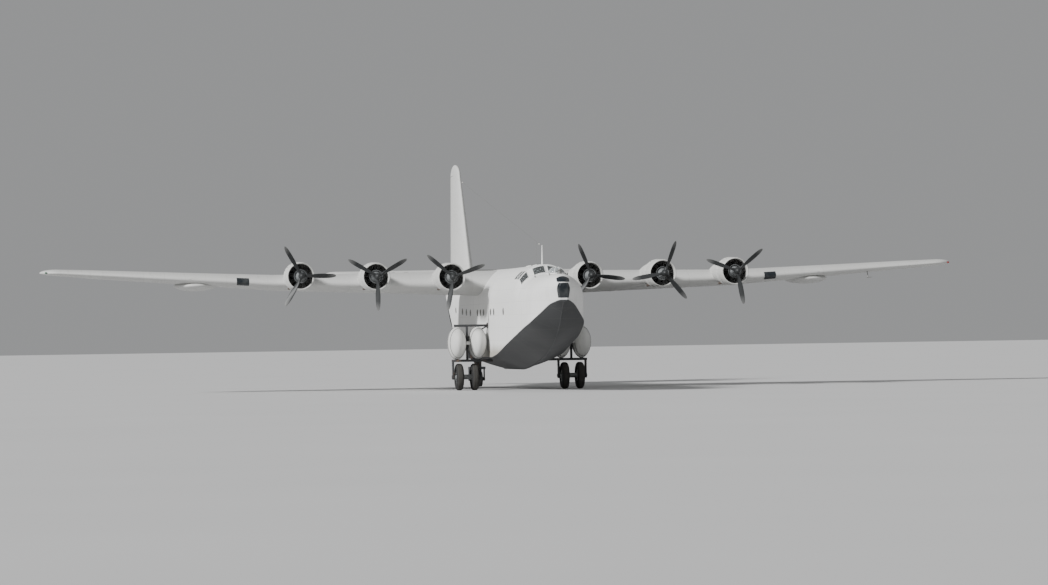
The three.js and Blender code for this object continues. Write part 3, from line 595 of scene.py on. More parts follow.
def half_breadth(station, height):
    _, _, chine, foot, side, top, crown = hull_row(station)
    shoulder = top - crown
    if height <= shoulder:
        return foot + (side - foot) * (height - chine) / (shoulder - chine)
    return side * math.sqrt(max(1 - ((height - shoulder) / crown) ** 2, 0))


rims, panes = bmesh.new(), bmesh.new()
for station, height, radius in CABIN_WINDOWS:
    for way in (-1, 1):
        porthole(rims, panes, place(way * half_breadth(station, height), station, height), radius, way)
finish_piece(rims, "porthole_rims", RIM_METAL, "gear_paint")
finish_piece(panes, "porthole_panes", PAINTED_SHADE_GLASS, "glazing")


# Planing bottoms: thicker plate in a V that flares out to the chines, coloured near black. The step
# behind the middle lets the hull break free, and a keel bar takes the wear on a slipway.
CHINE_LIP, LIP_HEIGHT, KEEL_STEPS = 0.04, 0.03, 8
KEEL_BAR = [(0.03, 0.03), (0.028, -0.018), (0.018, -0.028), (-0.018, -0.028), (-0.028, -0.018), (-0.03, 0.03)]
# The bottom's colour is near black, far darker than the topsides above the chine.
BOTTOM_PAINT = painted_metal("bottom_paint", (0.062, 0.064, 0.066), (0.16, 0.155, 0.14), amount=1.2,
                             rough=0.5, strake=0.24)


def bottom_section(row):
    station, keel, chine, foot = row[:4]
    edge, rise = foot + CHINE_LIP, chine - keel
    lip = min(LIP_HEIGHT, rise * 0.25)
    half = [(edge * t, keel + (rise - lip) * t * (0.8 + 0.2 * t * t))
            for t in (i / KEEL_STEPS for i in range(KEEL_STEPS + 1))]
    return outline(station, half + [(edge, chine - 0.001)], 1)


fore = stations(0.0, STEP, 0.15, STEM_STATIONS)
aft = stations(STEP, TAIL_JOINT, SKIN_PITCH) + stations(TAIL_JOINT, LENGTH, SKIN_PITCH)[1:]
for end, along, behind_step in (("fore", fore, False), ("aft", aft, True)):
    lofted([bottom_section(hull_row(s, behind_step)) for s in along],
           "bottom_" + end, BOTTOM_PAINT, "bottom_paint", "planing_bottom_" + end, sharp=24)
for end, along, behind_step in (
        ("fore", fore[1:], False), ("aft", stations(STEP + 0.05, LENGTH - 0.4, 0.3), True)):
    lofted([[place(x, s, hull_row(s, behind_step)[1] + up) for x, up in KEEL_BAR] for s in along],
           "keel_bar_" + end, BOTTOM_PAINT, "bottom_paint")


# Cockpit windows: bent panes of safety glass, bedded on rubber. They are held by alloy frames that are
# riveted round the openings and stand a little proud of the skin.
PANE_INSET, PANE_THICKNESS, FRAME_WIDTH, FRAME_THICKNESS = 0.004, 0.004, 0.012, 0.006
COCKPIT_GLASS = glass("cockpit_glass", (0.84, 0.89, 0.90), clear=0.96, haze=0.02)


def turn_out(bm, faces, outward):
    """Turns the faces of an open sheet to the side on which they are seen."""
    bmesh.ops.recalc_face_normals(bm, faces=faces)
    if sum(face.normal.dot(Vector(outward)) for face in faces) < 0:
        bmesh.ops.reverse_faces(bm, faces=faces)


def keep_faces(bm, chosen):
    chosen = set(chosen)
    bmesh.ops.delete(bm, geom=[face for face in bm.faces if face not in chosen], context="FACES")


def window_patch():
    bm = bmesh.new()
    bow_grid(bm)
    keep_faces(bm, window_faces(bm))
    turn_out(bm, bm.faces[:], (0, 0, 1))
    return bm


bm = window_patch()
for vert in bm.verts:
    vert.co.z -= PANE_INSET
    vert.co.x -= math.copysign(PANE_INSET, vert.co.x)
bmesh.ops.solidify(bm, geom=bm.faces[:], thickness=PANE_THICKNESS)
finish_piece(bm, "cockpit_panes", COCKPIT_GLASS, "glazing", "cockpit_glass")
bm = window_patch()
edging = bmesh.ops.inset_region(bm, faces=bm.faces[:], thickness=FRAME_WIDTH, use_boundary=True)["faces"]
keep_faces(bm, edging)
bmesh.ops.solidify(bm, geom=bm.faces[:], thickness=-FRAME_THICKNESS)
finish_piece(bm, "cockpit_window_frames", TOPSIDE_PAINT, "topside_paint")


# Cockpit: two seats side by side behind a deep instrument panel, a throttle box between them, and a
# bulkhead behind. All of it is painted grey-green, with leather on the seats.
CABIN_PAINT = painted_metal("cabin_paint", (0.27, 0.30, 0.26), (0.07, 0.07, 0.06), frame_pitch=0, rough=0.6)
SEAT_LEATHER = painted_metal("seat_leather", (0.14, 0.075, 0.045), (0.04, 0.028, 0.02), frame_pitch=0,
                             rough=0.45, bump=0.5)
DIAL_FACE = painted_metal("dial_face", (0.012, 0.012, 0.012), (0.35, 0.35, 0.33), frame_pitch=0,
                          amount=0.4, rough=0.3)
COCKPIT_FLOOR = 2.7
SEAT_OFFSETS = (-0.58, 0.58)
DIAL = [(0, 0.012), (0.07, 0.012), (0.085, 0.006), (0.085, -0.01), (0, -0.01)]
bm, seats, dials = bmesh.new(), bmesh.new(), bmesh.new()
block(bm, (-1.0, 1.0, 4.72, 6.6, COCKPIT_FLOOR + 0.001, COCKPIT_FLOOR + 0.05), 0.004)
block(bm, (-1.02, 1.02, 4.74, 4.9, COCKPIT_FLOOR, 4.13), 0.03)
block(bm, (-0.15, 0.15, 4.9, 5.5, COCKPIT_FLOOR, 3.42), 0.03)
for side in SEAT_OFFSETS:
    block(bm, (side - 0.2, side + 0.2, 5.5, 5.9, COCKPIT_FLOOR, 2.95), 0.02)
    rod(bm, place(side, 5.12, COCKPIT_FLOOR), place(side, 5.2, 3.45), 0.03)
    turned(bm, [(0.13, -0.015), (0.145, 0), (0.13, 0.015), (0.115, 0)], place(side, 5.18, 3.5),
           (0, -1, 0.35), 28, closed=True)
    block(seats, (side - 0.24, side + 0.24, 5.46, 5.94, 2.98, 3.2), 0.05, 3)
    block(seats, (side - 0.23, side + 0.23, 5.9, 6.02, 3.1, 3.95), 0.05, 3)
for row, i in ((row, i) for row in range(2) for i in range(-4, 5) if row or i):
    turned(dials, DIAL, place(i * 0.2, 4.9, 3.9 - row * 0.22), (0, 1, 0), 20)
finish_piece(bm, "cockpit_fittings", CABIN_PAINT, "cabin_paint", "cockpit_interior")
finish_piece(seats, "cockpit_seats", SEAT_LEATHER, "cabin_paint")
finish_piece(dials, "cockpit_dials", DIAL_FACE, "cabin_paint")


# Bow fittings: a dark pane bent round the stem with a second one laid back above it, a glazed dome on the
# fore deck, a mooring bitt and the aerial mast behind the cockpit.
PANE_FOOT, PANE_HEIGHT, PANE_STAND = 3.31, 0.68, 0.006
SKYLIGHT_FOOT, SKYLIGHT_HALF = 4.03, 0.29
DOME_STATION, DOME_FOOT, DOME_RADIUS, DOME_HEIGHT, DOME_LIFT, DOME_RIBS = 1.9, 4.43, 0.38, 0.29, 0.02, 8
DOME_RING = [(0.375, -0.1), (0.415, -0.1), (0.405, 0.03), (0.375, 0.045)]
DOME_CAP = [(0, 0.3), (0.07, 0.297), (0.07, 0.322), (0, 0.327)]
DOME_RIB = [(-0.012, 0.37), (0.012, 0.37), (0.012, 0.39), (-0.012, 0.39)]
# The dome's glass is tinted pale grey and half opaque: a painted reflection, standing for the white glare on
# the dome.
DOME_PAINTED_REFLECTION_GLASS = glass("dome_painted_reflection_glass", (0.50, 0.54, 0.56), clear=0.5)
MAST_STATION, BITT_STATION, BITT_BAR = 5.8, 1.05, 4.53
BITT = [
    (0, 4.3), (0.11, 4.3), (0.11, 4.45), (0.07, 4.47), (0.06, 4.54), (0.07, 4.57), (0.13, 4.58),
    (0.135, 4.605), (0.12, 4.63), (0, 4.63),
]
# Columns: height, length, width
MAST_LINES = [[4.85, 0.13, 0.05], [5.1, 0.11, 0.045], [5.6, 0.07, 0.03], [5.85, 0.05, 0.022]]


def sheet(bm, columns, rows, outward, thickness, point):
    """A plate that stands out from a skin: a grid of points, each given by its two shares from 0 to 1."""
    patch = bmesh.ops.create_grid(bm, x_segments=columns, y_segments=rows, size=1)["verts"]
    for vert in patch:
        vert.co = point((vert.co.x + 1) / 2, (vert.co.y + 1) / 2)
    patch = set(patch)
    faces = [face for face in bm.faces if patch.issuperset(face.verts)]
    turn_out(bm, faces, outward)
    bmesh.ops.solidify(bm, geom=faces, thickness=-thickness * METRE)


def deck_height(x, station):
    _, _, _, _, side, top, crown = hull_row(station)
    return top - crown * (1 - math.sqrt(1 - (x / side) ** 2))


def stem_point(u, v):
    """Follows the skin across the stem and some way back on both sides."""
    path = [(0, 0), (0, 0.5), (0, 1), *((station, 1) for station in STEM_STATIONS[:2])]
    step, height = round((2 * u - 1) * (len(path) - 1)), PANE_FOOT + v * PANE_HEIGHT
    station, share = path[abs(step)]
    return place(math.copysign(half_breadth(station, height) * share, step), station, height)


def skylight_point(u, v):
    path = (0.01, *STEM_STATIONS)
    station = path[round(v * (len(path) - 1))]
    x = (2 * u - 1) * min(SKYLIGHT_HALF, half_breadth(station, SKYLIGHT_FOOT))
    return place(x, station, deck_height(x, station))


bm = bmesh.new()
sheet(bm, 8, 8, (0, -1, 0), PANE_STAND, stem_point)
finish_piece(bm, "stem_pane", PAINTED_SHADE_GLASS, "glazing", "stem_window_glass")
bm = bmesh.new()
sheet(bm, 14, len(STEM_STATIONS), (0, -0.5, 1), PANE_STAND, skylight_point)
finish_piece(bm, "stem_skylight", PAINTED_SHADE_GLASS, "glazing")
centre = place(0, DOME_STATION, DOME_FOOT)
arc = [(DOME_RADIUS * math.cos(a), DOME_LIFT + DOME_HEIGHT * math.sin(a))
       for a in (math.radians(degrees) for degrees in range(0, 91, 9))]
bm = bmesh.new()
turned(bm, [(0, -0.06), (DOME_RADIUS, -0.06), *arc[:-1], (0, arc[-1][1])], centre, (0, 0, 1))
finish_piece(bm, "dome_pane", DOME_PAINTED_REFLECTION_GLASS, "glazing", "observation_dome")
bm = bmesh.new()
turned(bm, DOME_RING, centre, (0, 0, 1), closed=True)
turned(bm, DOME_CAP, centre, (0, 0, 1), 24)
for rib in range(DOME_RIBS):
    turn = Matrix.Rotation(math.radians((rib + 0.5) * 360 / DOME_RIBS), 3, "Z")
    sections = []
    for a in range(0, 82, 9):
        c, s = math.cos(math.radians(a)), math.sin(math.radians(a))
        sections.append([centre + turn @ Vector((r * c, w, DOME_LIFT + (r - 0.09) * s)) * METRE
                         for w, r in DOME_RIB])
    solid(bm, sections)
finish_piece(bm, "dome_frame", TOPSIDE_PAINT, "topside_paint")
lofted([[place(width * math.sin(a) * 0.9, MAST_STATION + length / 2 * math.cos(a), height)
         for a in (math.radians(30 * k) for k in range(12))] for height, length, width in MAST_LINES],
       "aerial_mast_skin", TOPSIDE_PAINT, "wing_paint", "aerial_mast")
bm = bmesh.new()
turned(bm, BITT, place(0, BITT_STATION, 0), (0, 0, 1), 32)
rod(bm, place(-0.17, BITT_STATION, BITT_BAR), place(0.17, BITT_STATION, BITT_BAR), 0.022)
finish_piece(bm, "bitt", RIM_METAL, "gear_paint", "mooring_bitt")


# Deck fittings: pressed hatches with lids that stand on a low coaming, gritty walkways between them, and
# cast cleats for the mooring lines. All of them follow the round of the deck.
# Columns: station, half length, half width
HATCHES = [[3.25, 0.33, 0.3], [6.8, 0.3, 0.28], [8.6, 0.36, 0.32], [22.9, 0.33, 0.3], [26.2, 0.3, 0.25]]
# Columns: how far the plate is drawn in, its height over the deck
HATCH_LAYERS = [[0, 0.012], [0.04, 0.034], [0.1, 0.042]]
# Columns: front, back
WALKWAYS = [[9.15, 14.3], [14.42, 22.4], [23.4, 25.75]]
# Columns: distance off the centre line, station
CLEATS = [[0.42, 1.35], [0.7, 3.7], [0.75, 24.4], [0.45, 30.2]]
DECK_SINK = 0.006
WALKWAY_PAINT = painted_metal("walkway_paint", (0.20, 0.20, 0.195), (0.42, 0.42, 0.41), frame_pitch=0,
                              amount=1.2, rough=0.85, streaks=0.1, bump=0.5)


def deck_plate(bm, middle, half_length, half_width, lift, corner=0.5):
    """A plate on the crown of the deck, with its corners drawn in towards an oval."""
    def point(u, v):
        u, v = 2 * u - 1, 2 * v - 1
        x = u * math.sqrt(1 - corner * v * v / 2) * half_width
        station = middle + v * math.sqrt(1 - corner * u * u / 2) * half_length
        return place(x, station, deck_height(x, station) - DECK_SINK)
    sheet(bm, 12, 12, (0, 0, 1), lift + DECK_SINK, point)


bm, paths, castings = bmesh.new(), bmesh.new(), bmesh.new()
for middle, half_length, half_width in HATCHES:
    for inset, lift in HATCH_LAYERS:
        deck_plate(bm, middle, half_length - inset, half_width - inset, lift)
    height = deck_height(0, middle) + 0.04
    back, hinge = middle + half_length - 0.07, middle - half_length + 0.02
    for x in (-0.06, 0.06):
        rod(castings, place(x, back, height - 0.02), place(x, back, height + 0.035), 0.009, 8)
        rod(castings, place(x * 2.2, hinge, height - 0.03), place(x * 1.2, hinge, height - 0.025), 0.018, 12)
    rod(castings, place(-0.068, back, height + 0.035), place(0.068, back, height + 0.035), 0.009, 8)
for front, back in WALKWAYS:
    deck_plate(paths, (front + back) / 2, (back - front) / 2, 0.24, 0.003, 0.02)
for x, station in ((way * x, station) for x, station in CLEATS for way in (-1, 1)):
    height = deck_height(x, station)
    for s in (station - 0.05, station + 0.05):
        rod(castings, place(x, s, height - 0.02), place(x, s, height + 0.06), 0.016, 10)
    rod(castings, place(x, station - 0.13, height + 0.07), place(x, station + 0.13, height + 0.07), 0.02, 12)
finish_piece(bm, "deck_hatches", TOPSIDE_PAINT, "topside_paint")
finish_piece(paths, "deck_walkways", WALKWAY_PAINT, "gear_paint")
finish_piece(castings, "deck_castings", RIM_METAL, "gear_paint")


# Wing: a thick three-part cantilever on top of the hull, skinned in riveted sheet. The middle part carries
# the engines and flaps; the outer parts rise a little more and carry the ailerons and the stowed floats.
# Columns: span, leading edge, chord, thickness ratio, height of the chord line
WING_LINES = [
    [0, 14.4, 7.9, 0.165, 4.15],
    [11.6, 15.56, 5.38, 0.145, 4.35],
    [20.6, 16.46, 3.42, 0.12, 4.9],
    [22.0, 16.62, 2.95, 0.11, 4.99],
]
WING_JOINT, WING_TIP, WING_SETBACK, WING_CAMBER, EDGE_THICKNESS = 11.6, 23.0, 0.45, 0.012, 0.012
CLEARANCE, REAR_STEPS, FRONT_STEPS = 0.02, 6, 18
TIP_ANGLES = (12, 24, 36, 47, 57, 66, 73, 79, 84, 87.5, 90)
# Hinged surfaces: inner and outer span, station of the hinge at each, widest turn of the lips up and down
FLAP = (1.75, 11.3, 20.25, 19.62, 60, 40)
AILERON = (12.0, 21.4, 19.62, 19.0, 60, 60)
SIDES = (("port", 1), ("starboard", -1))
WING_PAINT = painted_metal("wing_paint", (0.60, 0.60, 0.585), (0.20, 0.195, 0.18), across="X",
                           frame_pitch=0.42, strake=0.5, amount=0.8, run=(4, 0.3, 4))


class Surface:
    """A lifting surface: its lines, its rounded tip, its hinge and the way that it lies."""

    def __init__(self, lines, tip, setback, camber, hinge, way=place):
        self.lines, self.tip, self.setback, self.camber = lines, tip, setback, camber
        self.hinge, self.way = hinge, way

    def row(self, span):
        lines = self.lines
        if span <= lines[-1][0] + 1e-9:
            i = max(1, next(k for k, row in enumerate(lines) if row[0] >= span - 1e-9))
            low, high = lines[i - 1], lines[i]
            t = (span - low[0]) / (high[0] - low[0])
            return [a + (b - a) * t for a, b in zip(low, high)]
        last, before = lines[-1], lines[-2]
        reach = (span - last[0]) / (self.tip - last[0])
        chord = last[2] * math.sqrt(max(1 - reach ** 2, 0.003))
        climb = (last[4] - before[4]) / (last[0] - before[0]) * (1 - reach * 0.4)
        return [span, last[1] + (last[2] - chord) * self.setback, chord, last[3],
                last[4] + climb * (span - last[0])]

    def at(self, row, share, side):
        """Station and height of the skin at a share of the chord, above or below."""
        _, lead, chord, ratio, lift = row
        share = max(share, 0)
        half = 5 * ratio * chord * (0.2969 * math.sqrt(share) - 0.126 * share - 0.3516 * share ** 2
                                    + 0.2843 * share ** 3 - 0.1036 * share ** 4) + EDGE_THICKNESS / 2 * share
        return lead + share * chord, lift + 4 * self.camber * chord * share * (1 - share) + side * half

    def axle(self, span):
        """Station, height and radius of the hinge at a span."""
        inner, outer, front, back = self.hinge[:4]
        held = min(max(span, inner), outer)
        near, row = self.row(held), self.row(span)
        share = (front + (held - inner) / (outer - inner) * (back - front) - near[1]) / near[2]
        (station, top), (_, foot) = self.at(row, share, 1), self.at(row, share, -1)
        return station, (top + foot) / 2, (top - foot) / 2

    def square(self, span, point):
        """A point of a rib that stands square to the hinge line."""
        inner, outer = self.hinge[:2]
        first, last = self.axle(inner), self.axle(outer)
        slope, climb = ((last[k] - first[k]) / (outer - inner) for k in (0, 1))
        here = self.axle(span)
        return self.way(span - slope * (point[0] - here[0]) - climb * (point[1] - here[1]), *point)

    def lip(self, row, axle, side, widest):
        """How far the skin reaches round the nose of the hinged surface: its angle and share of the chord."""
        station, height, radius = axle
        for degrees in range(widest, 0, -3):
            a = math.radians(degrees)
            share = (station - (radius + CLEARANCE) * math.cos(a) - row[1]) / row[2]
            skin = (self.at(row, share, side)[1] - height) * side
            if skin - (radius + CLEARANCE) * math.sin(a) > 0.008:
                break
        return a, share

    def section(self, span, hinged=False, skewed=False):
        """From the back over the top to the nose and below to the back, or round a hinged piece's nose."""
        row, axle = self.row(span), self.axle(span)
        reach = axle[2] + CLEARANCE
        lips = {side: self.lip(row, axle, side, self.hinge[4 + (side < 0)]) for side in (1, -1)}

        def behind(i, side):
            (angle, share), t = lips[side], i / REAR_STEPS
            if hinged:
                a = side * angle * t
                return axle[0] - reach * math.cos(a), axle[1] + reach * math.sin(a)
            return self.at(row, 1 + (share - 1) * t, side)

        above = [behind(i, 1) for i in range(REAR_STEPS)]
        below = [behind(i, -1) for i in reversed(range(1, REAR_STEPS))]
        below.append((above[0][0], above[0][1] - 0.0005) if hinged else self.at(row, 1, -1))
        front = [1 - math.cos(math.pi / 2 * i / FRONT_STEPS) for i in range(FRONT_STEPS + 1)]
        nose = [self.at(row, lips[1][1] * f, 1) for f in reversed(front)]
        nose += [self.at(row, lips[-1][1] * f, -1) for f in front[1:]]
        plain = range(len(above) + 1, len(above) + len(nose) - 1)
        return [self.square(span, p) if skewed and i not in plain else self.way(span, *p)
                for i, p in enumerate(above + nose + below)]

    def hinged_section(self, span):
        row, (station, height, radius) = self.row(span), self.axle(span)
        share = (station - row[1]) / row[2]
        above, below = ([self.at(row, 1 + (share - 1) * i / REAR_STEPS, side) for i in range(REAR_STEPS)]
                        for side in (1, -1))
        nose = [(station + radius * math.cos(a), height + radius * math.sin(a))
                for a in (math.radians(d) for d in range(90, 271, 12))]
        return [self.square(span, p) for p in above + nose + below[::-1]]

    def sections(self, first, last, pitch):
        """The sections from one span to another, with the gap for the hinged surface cut out."""
        inner, outer = self.hinge[0] - CLEARANCE, self.hinge[1] + CLEARANCE
        straight = min(last, self.lines[-1][0])
        result = [self.section(s) for s in stations(first, inner, pitch)[:-1]]
        result += [self.section(inner, False, True)]
        result += [self.section(s, True, True) for s in stations(inner, outer, pitch)]
        result += [self.section(outer, False, True)]
        result += [self.section(s) for s in stations(outer, straight, pitch)[1:]]
        turns = [math.sin(math.radians(a)) for a in TIP_ANGLES] if last > straight else []
        return result + [self.section(straight + (last - straight) * t) for t in turns]


def mirrored(sections):
    return [[Vector((-p.x, p.y, p.z)) for p in section] for section in sections]


def both_sides(port, name, paint, node, hinged=False):
    for side, sections in (("port", port), ("starboard", mirrored(port))):
        lofted(sections, f"{name}_{side}", paint, "wing_paint", f"{node}_{side}",
               f"{node}_{side}" if hinged else "airframe")


CENTRE_WING = Surface(WING_LINES, WING_TIP, WING_SETBACK, WING_CAMBER, FLAP)
OUTER_WING = Surface(WING_LINES, WING_TIP, WING_SETBACK, WING_CAMBER, AILERON)
port = CENTRE_WING.sections(0.0, WING_JOINT, 0.9)
lofted(mirrored(reversed(port[1:])) + port, "wing_middle", WING_PAINT, "wing_paint", "wing_centre")
both_sides(OUTER_WING.sections(WING_JOINT + 0.001, WING_TIP, 0.8), "wing_end", WING_PAINT, "wing_outer")


# Hoisting pads: two turned steel bosses, bolted through the skin of the wing on both sides of the hull. The
# lifting slings shackle on to them.
HOIST_OFFSETS, HOIST_STATION = (-2.2, 2.2), 17.2
HOIST_PAD = [(0, 4.6), (0.17, 4.6), (0.17, 4.78), (0.12, 4.8), (0.12, 4.93), (0.105, 4.95), (0, 4.95)]
bm = bmesh.new()
for x in HOIST_OFFSETS:
    turned(bm, HOIST_PAD, place(x, HOIST_STATION, 0), (0, 0, 1), 32)
finish_piece(bm, "hoist_pads", RIM_METAL, "gear_paint")


# Flaps and ailerons: light frames covered in doped fabric, which draws in a little between the ribs. They
# turn on hinges inside the wing, behind a shroud that closes round their noses.
def fabric(name, ribs):
    return painted_metal(name, (0.55, 0.55, 0.53), (0.19, 0.18, 0.16), frame_pitch=0, rough=0.58, bump=0.3,
                         amount=0.8, run=(4, 0.3, 4), ribs=ribs)


FABRIC_PAINT = fabric("fabric_paint", "X")


def hinged_pair(surface, name):
    both_sides([surface.hinged_section(s) for s in stations(*surface.hinge[:2], 0.8)],
               f"{name}_skin", FABRIC_PAINT, name, hinged=True)


hinged_pair(CENTRE_WING, "flap")
hinged_pair(OUTER_WING, "aileron")


# Wing fittings: filler caps and access covers screwed to the skin, gritty steps beside the hull, landing
# lamps behind bent panes in the leading edge, coloured lamps at the tips and an air-speed probe to port.
# Columns: span, share of the chord, radius
FILLER_CAPS = [[4.95, 0.36, 0.11], [5.6, 0.36, 0.11], [8.6, 0.36, 0.11], [9.25, 0.36, 0.11]]
ACCESS_COVERS = [[span, share, radius] for share in (0.3, 0.56) for span, radius in (
    (2.7, 0.15), (5.2, 0.15), (8.9, 0.15), (12.7, 0.13), (18.2, 0.12), (19.8, 0.12))]
LANDING_LAMP, LAMP_SHARE = (12.9, 13.5), 0.035
PROBE_SPAN, PROBE_DROP = 18.4, 0.3
ROOT_WALK_SPANS, ROOT_WALK_SHARES = (1.72, 2.1), (0.2, 0.68)
TIP_LAMP_SPAN, TIP_LAMP_STATION, TIP_LAMP_HEIGHT, TIP_LAMP_RADII = 22.72, 17.02, 5.02, (0.06, 0.15, 0.05)
RED_GLASS = glass("red_glass", (0.30, 0.012, 0.01), clear=0.3)
GREEN_GLASS = glass("green_glass", (0.01, 0.16, 0.06), clear=0.3)


def between(limits, share):
    return limits[0] + (limits[1] - limits[0]) * share


def skin_plate(bm, surface, spans, shares, side, lift, mirror=1, steps=6):
    """A thin plate on a surface's skin, between two spans and two shares of the chord."""
    def point(u, v):
        span = between(spans, u)
        made = surface.way(span, *surface.at(surface.row(span), between(shares, v), side))
        return Vector((made.x * mirror, made.y, made.z))
    sheet(bm, steps, steps, surface.way(0, 0, side) - surface.way(0, 0, 0), lift, point)


def edge_pane(bm, mirror):
    """A pane bent round the leading edge."""
    def point(u, v):
        span, v = between(LANDING_LAMP, u), 2 * v - 1
        row, side = OUTER_WING.row(span), math.copysign(1, v)
        return place(mirror * span, *OUTER_WING.at(row, LAMP_SHARE * v ** 2, side))
    sheet(bm, 6, 16, (0, -1, 0), PANE_STAND, point)


def skin_disc(bm, span, share, side, radius, mirror, lift=0.008):
    row = OUTER_WING.row(span)
    here, there = (OUTER_WING.at(row, share + step, side) for step in (0, 0.01))
    out = Vector((0, here[1] - there[1], there[0] - here[0])).normalized() * side
    turned(bm, [(0, -0.014), (radius, -0.014), (radius, lift - 0.004), (radius - 0.015, lift), (0, lift)],
           place(mirror * span, *here), out, 24)


def ellipsoid(bm, centre, radii, around, along, turn=Matrix.Identity(4)):
    scale = Matrix.Diagonal((*(radius * METRE for radius in radii), 1))
    bmesh.ops.create_uvsphere(bm, u_segments=around, v_segments=along, radius=1,
                              matrix=Matrix.Translation(centre) @ scale @ turn)


covers, caps, panes, steps, probe = (bmesh.new() for _ in range(5))
for mirror in (-1, 1):
    for span, share, radius in ACCESS_COVERS:
        skin_disc(covers, span, share, -1, radius, mirror)
    for span, share, radius in FILLER_CAPS:
        skin_disc(caps, span, share, 1, radius, mirror, 0.016)
    edge_pane(panes, mirror)
    skin_plate(steps, CENTRE_WING, ROOT_WALK_SPANS, ROOT_WALK_SHARES, 1, 0.008, mirror, 28)
station, foot = OUTER_WING.at(OUTER_WING.row(PROBE_SPAN), 0.08, -1)
low = foot - PROBE_DROP
rod(probe, place(PROBE_SPAN, station, foot + 0.02), place(PROBE_SPAN, station - 0.1, low), 0.022, 12)
rod(probe, place(PROBE_SPAN, station + 0.02, low), place(PROBE_SPAN, station - 0.6, low), 0.022, 14)
rod(probe, place(PROBE_SPAN, station - 0.6, low), place(PROBE_SPAN, station - 0.95, low), 0.012, 12)
finish_piece(covers, "access_covers", WING_PAINT, "wing_paint")
finish_piece(caps, "filler_caps", RIM_METAL, "gear_paint")
finish_piece(panes, "landing_lamp_panes", PAINTED_SHADE_GLASS, "glazing")
finish_piece(steps, "wing_root_walkways", WALKWAY_PAINT, "gear_paint")
for (side, way), material in zip(SIDES, (RED_GLASS, GREEN_GLASS)):
    bm = bmesh.new()
    ellipsoid(bm, place(way * TIP_LAMP_SPAN, TIP_LAMP_STATION, TIP_LAMP_HEIGHT), TIP_LAMP_RADII, 24, 16)
    finish_piece(bm, f"tip_lamp_{side}", material, "glazing")
finish_piece(probe, "air_speed_probe", RIM_METAL, "gear_paint")


# Trim tabs: small metal plates let into the trailing edges, each worked by a short horn and rod. They are
# set from the cockpit, and here they ride with their surface.
TAB_PAINT = painted_metal("tab_paint", (0.50, 0.50, 0.485), (0.2, 0.19, 0.17), frame_pitch=0, rough=0.45,
                          amount=0.8)


def trim_tab(name, surface, spans, front, body, mirror=1):
    bm = bmesh.new()
    for side in (-1, 1):
        skin_plate(bm, surface, spans, (front, 0.995), side, 0.004, mirror)
    middle = sum(spans) / 2
    row = surface.row(middle)
    up = surface.way(0, 0, 1) - surface.way(0, 0, 0)
    near, far = (surface.way(middle, *surface.at(row, share, 1)) for share in (front - 0.07, front + 0.025))
    for point in (near, far):
        point.x *= mirror
    rod(bm, near - up * 0.02, near + up * 0.05, 0.014, 10)
    rod(bm, far - up * 0.02, far + up * 0.06, 0.016, 10)
    rod(bm, near + up * 0.045, far + up * 0.055, 0.008, 8)
    finish_piece(bm, name, TAB_PAINT, "wing_paint", body=body)


for side, way in SIDES:
    trim_tab(f"aileron_tab_{side}", OUTER_WING, (13.4, 15.4), 0.93, f"aileron_{side}", way)


# Stowed floats: each stabilising float splits in two and folds up against the outer wing, where its
# smooth planked-metal belly still shows.
FLOAT_SPAN, FLOAT_STATION, FLOAT_HEIGHT, FLOAT_RADII = 15.4, 17.5, 4.3, (1.05, 1.5, 0.26)
for side, way in SIDES:
    bm = bmesh.new()
    ellipsoid(bm, place(way * FLOAT_SPAN, FLOAT_STATION, FLOAT_HEIGHT), FLOAT_RADII, 48, 24)
    finish_piece(bm, f"float_skin_{side}", WING_PAINT, "wing_paint", f"float_{side}")


# Tail: a single tall fin on the rear deck with a high-set tailplane through its foot. Fixed surfaces are
# metal; rudder and elevators are fabric over ribs.
FIN_LINES = [[4.2, 28.45, 7.8, 0.1, 0], [10.3, 32.4, 3.3, 0.09, 0]]
FIN_TIP, FIN_SETBACK, FIN_FOOT = 10.9, 0.53, 4.3
RUDDER = (5.3, 10.3, 33.9, 33.9, 55, 55)
TAILPLANE_LINES = [[0.1, 29.88, 4.33, 0.11, 4.95], [6.7, 31.35, 2.5, 0.1, 5.05]]
TAILPLANE_ROOT, TAILPLANE_TIP, TAILPLANE_SETBACK = 0.1, 7.3, 0.55
ELEVATOR = (1.0, 6.4, 32.9, 32.9, 55, 55)
RUDDER_FABRIC = fabric("rudder_fabric", "Z")


def fin_way(span, station, side):
    return place(side, station, span)


FIN = Surface(FIN_LINES, FIN_TIP, FIN_SETBACK, 0, RUDDER, fin_way)
TAILPLANE = Surface(TAILPLANE_LINES, TAILPLANE_TIP, TAILPLANE_SETBACK, 0, ELEVATOR)
lofted(FIN.sections(FIN_FOOT, FIN_TIP, 0.7), "fin_skin", WING_PAINT, "wing_paint", "fin")
lofted([FIN.hinged_section(s) for s in stations(*RUDDER[:2], 0.7)],
       "rudder_skin", RUDDER_FABRIC, "wing_paint", "rudder", "rudder")
both_sides(TAILPLANE.sections(TAILPLANE_ROOT, TAILPLANE_TIP, 0.7), "tailplane_skin", WING_PAINT, "tailplane")
hinged_pair(TAILPLANE, "elevator")
trim_tab("rudder_tab", FIN, (6.2, 8.4), 0.92, "rudder")
for side, way in SIDES:
    trim_tab(f"elevator_tab_{side}", TAILPLANE, (1.6, 3.2), 0.93, f"elevator_{side}", way)


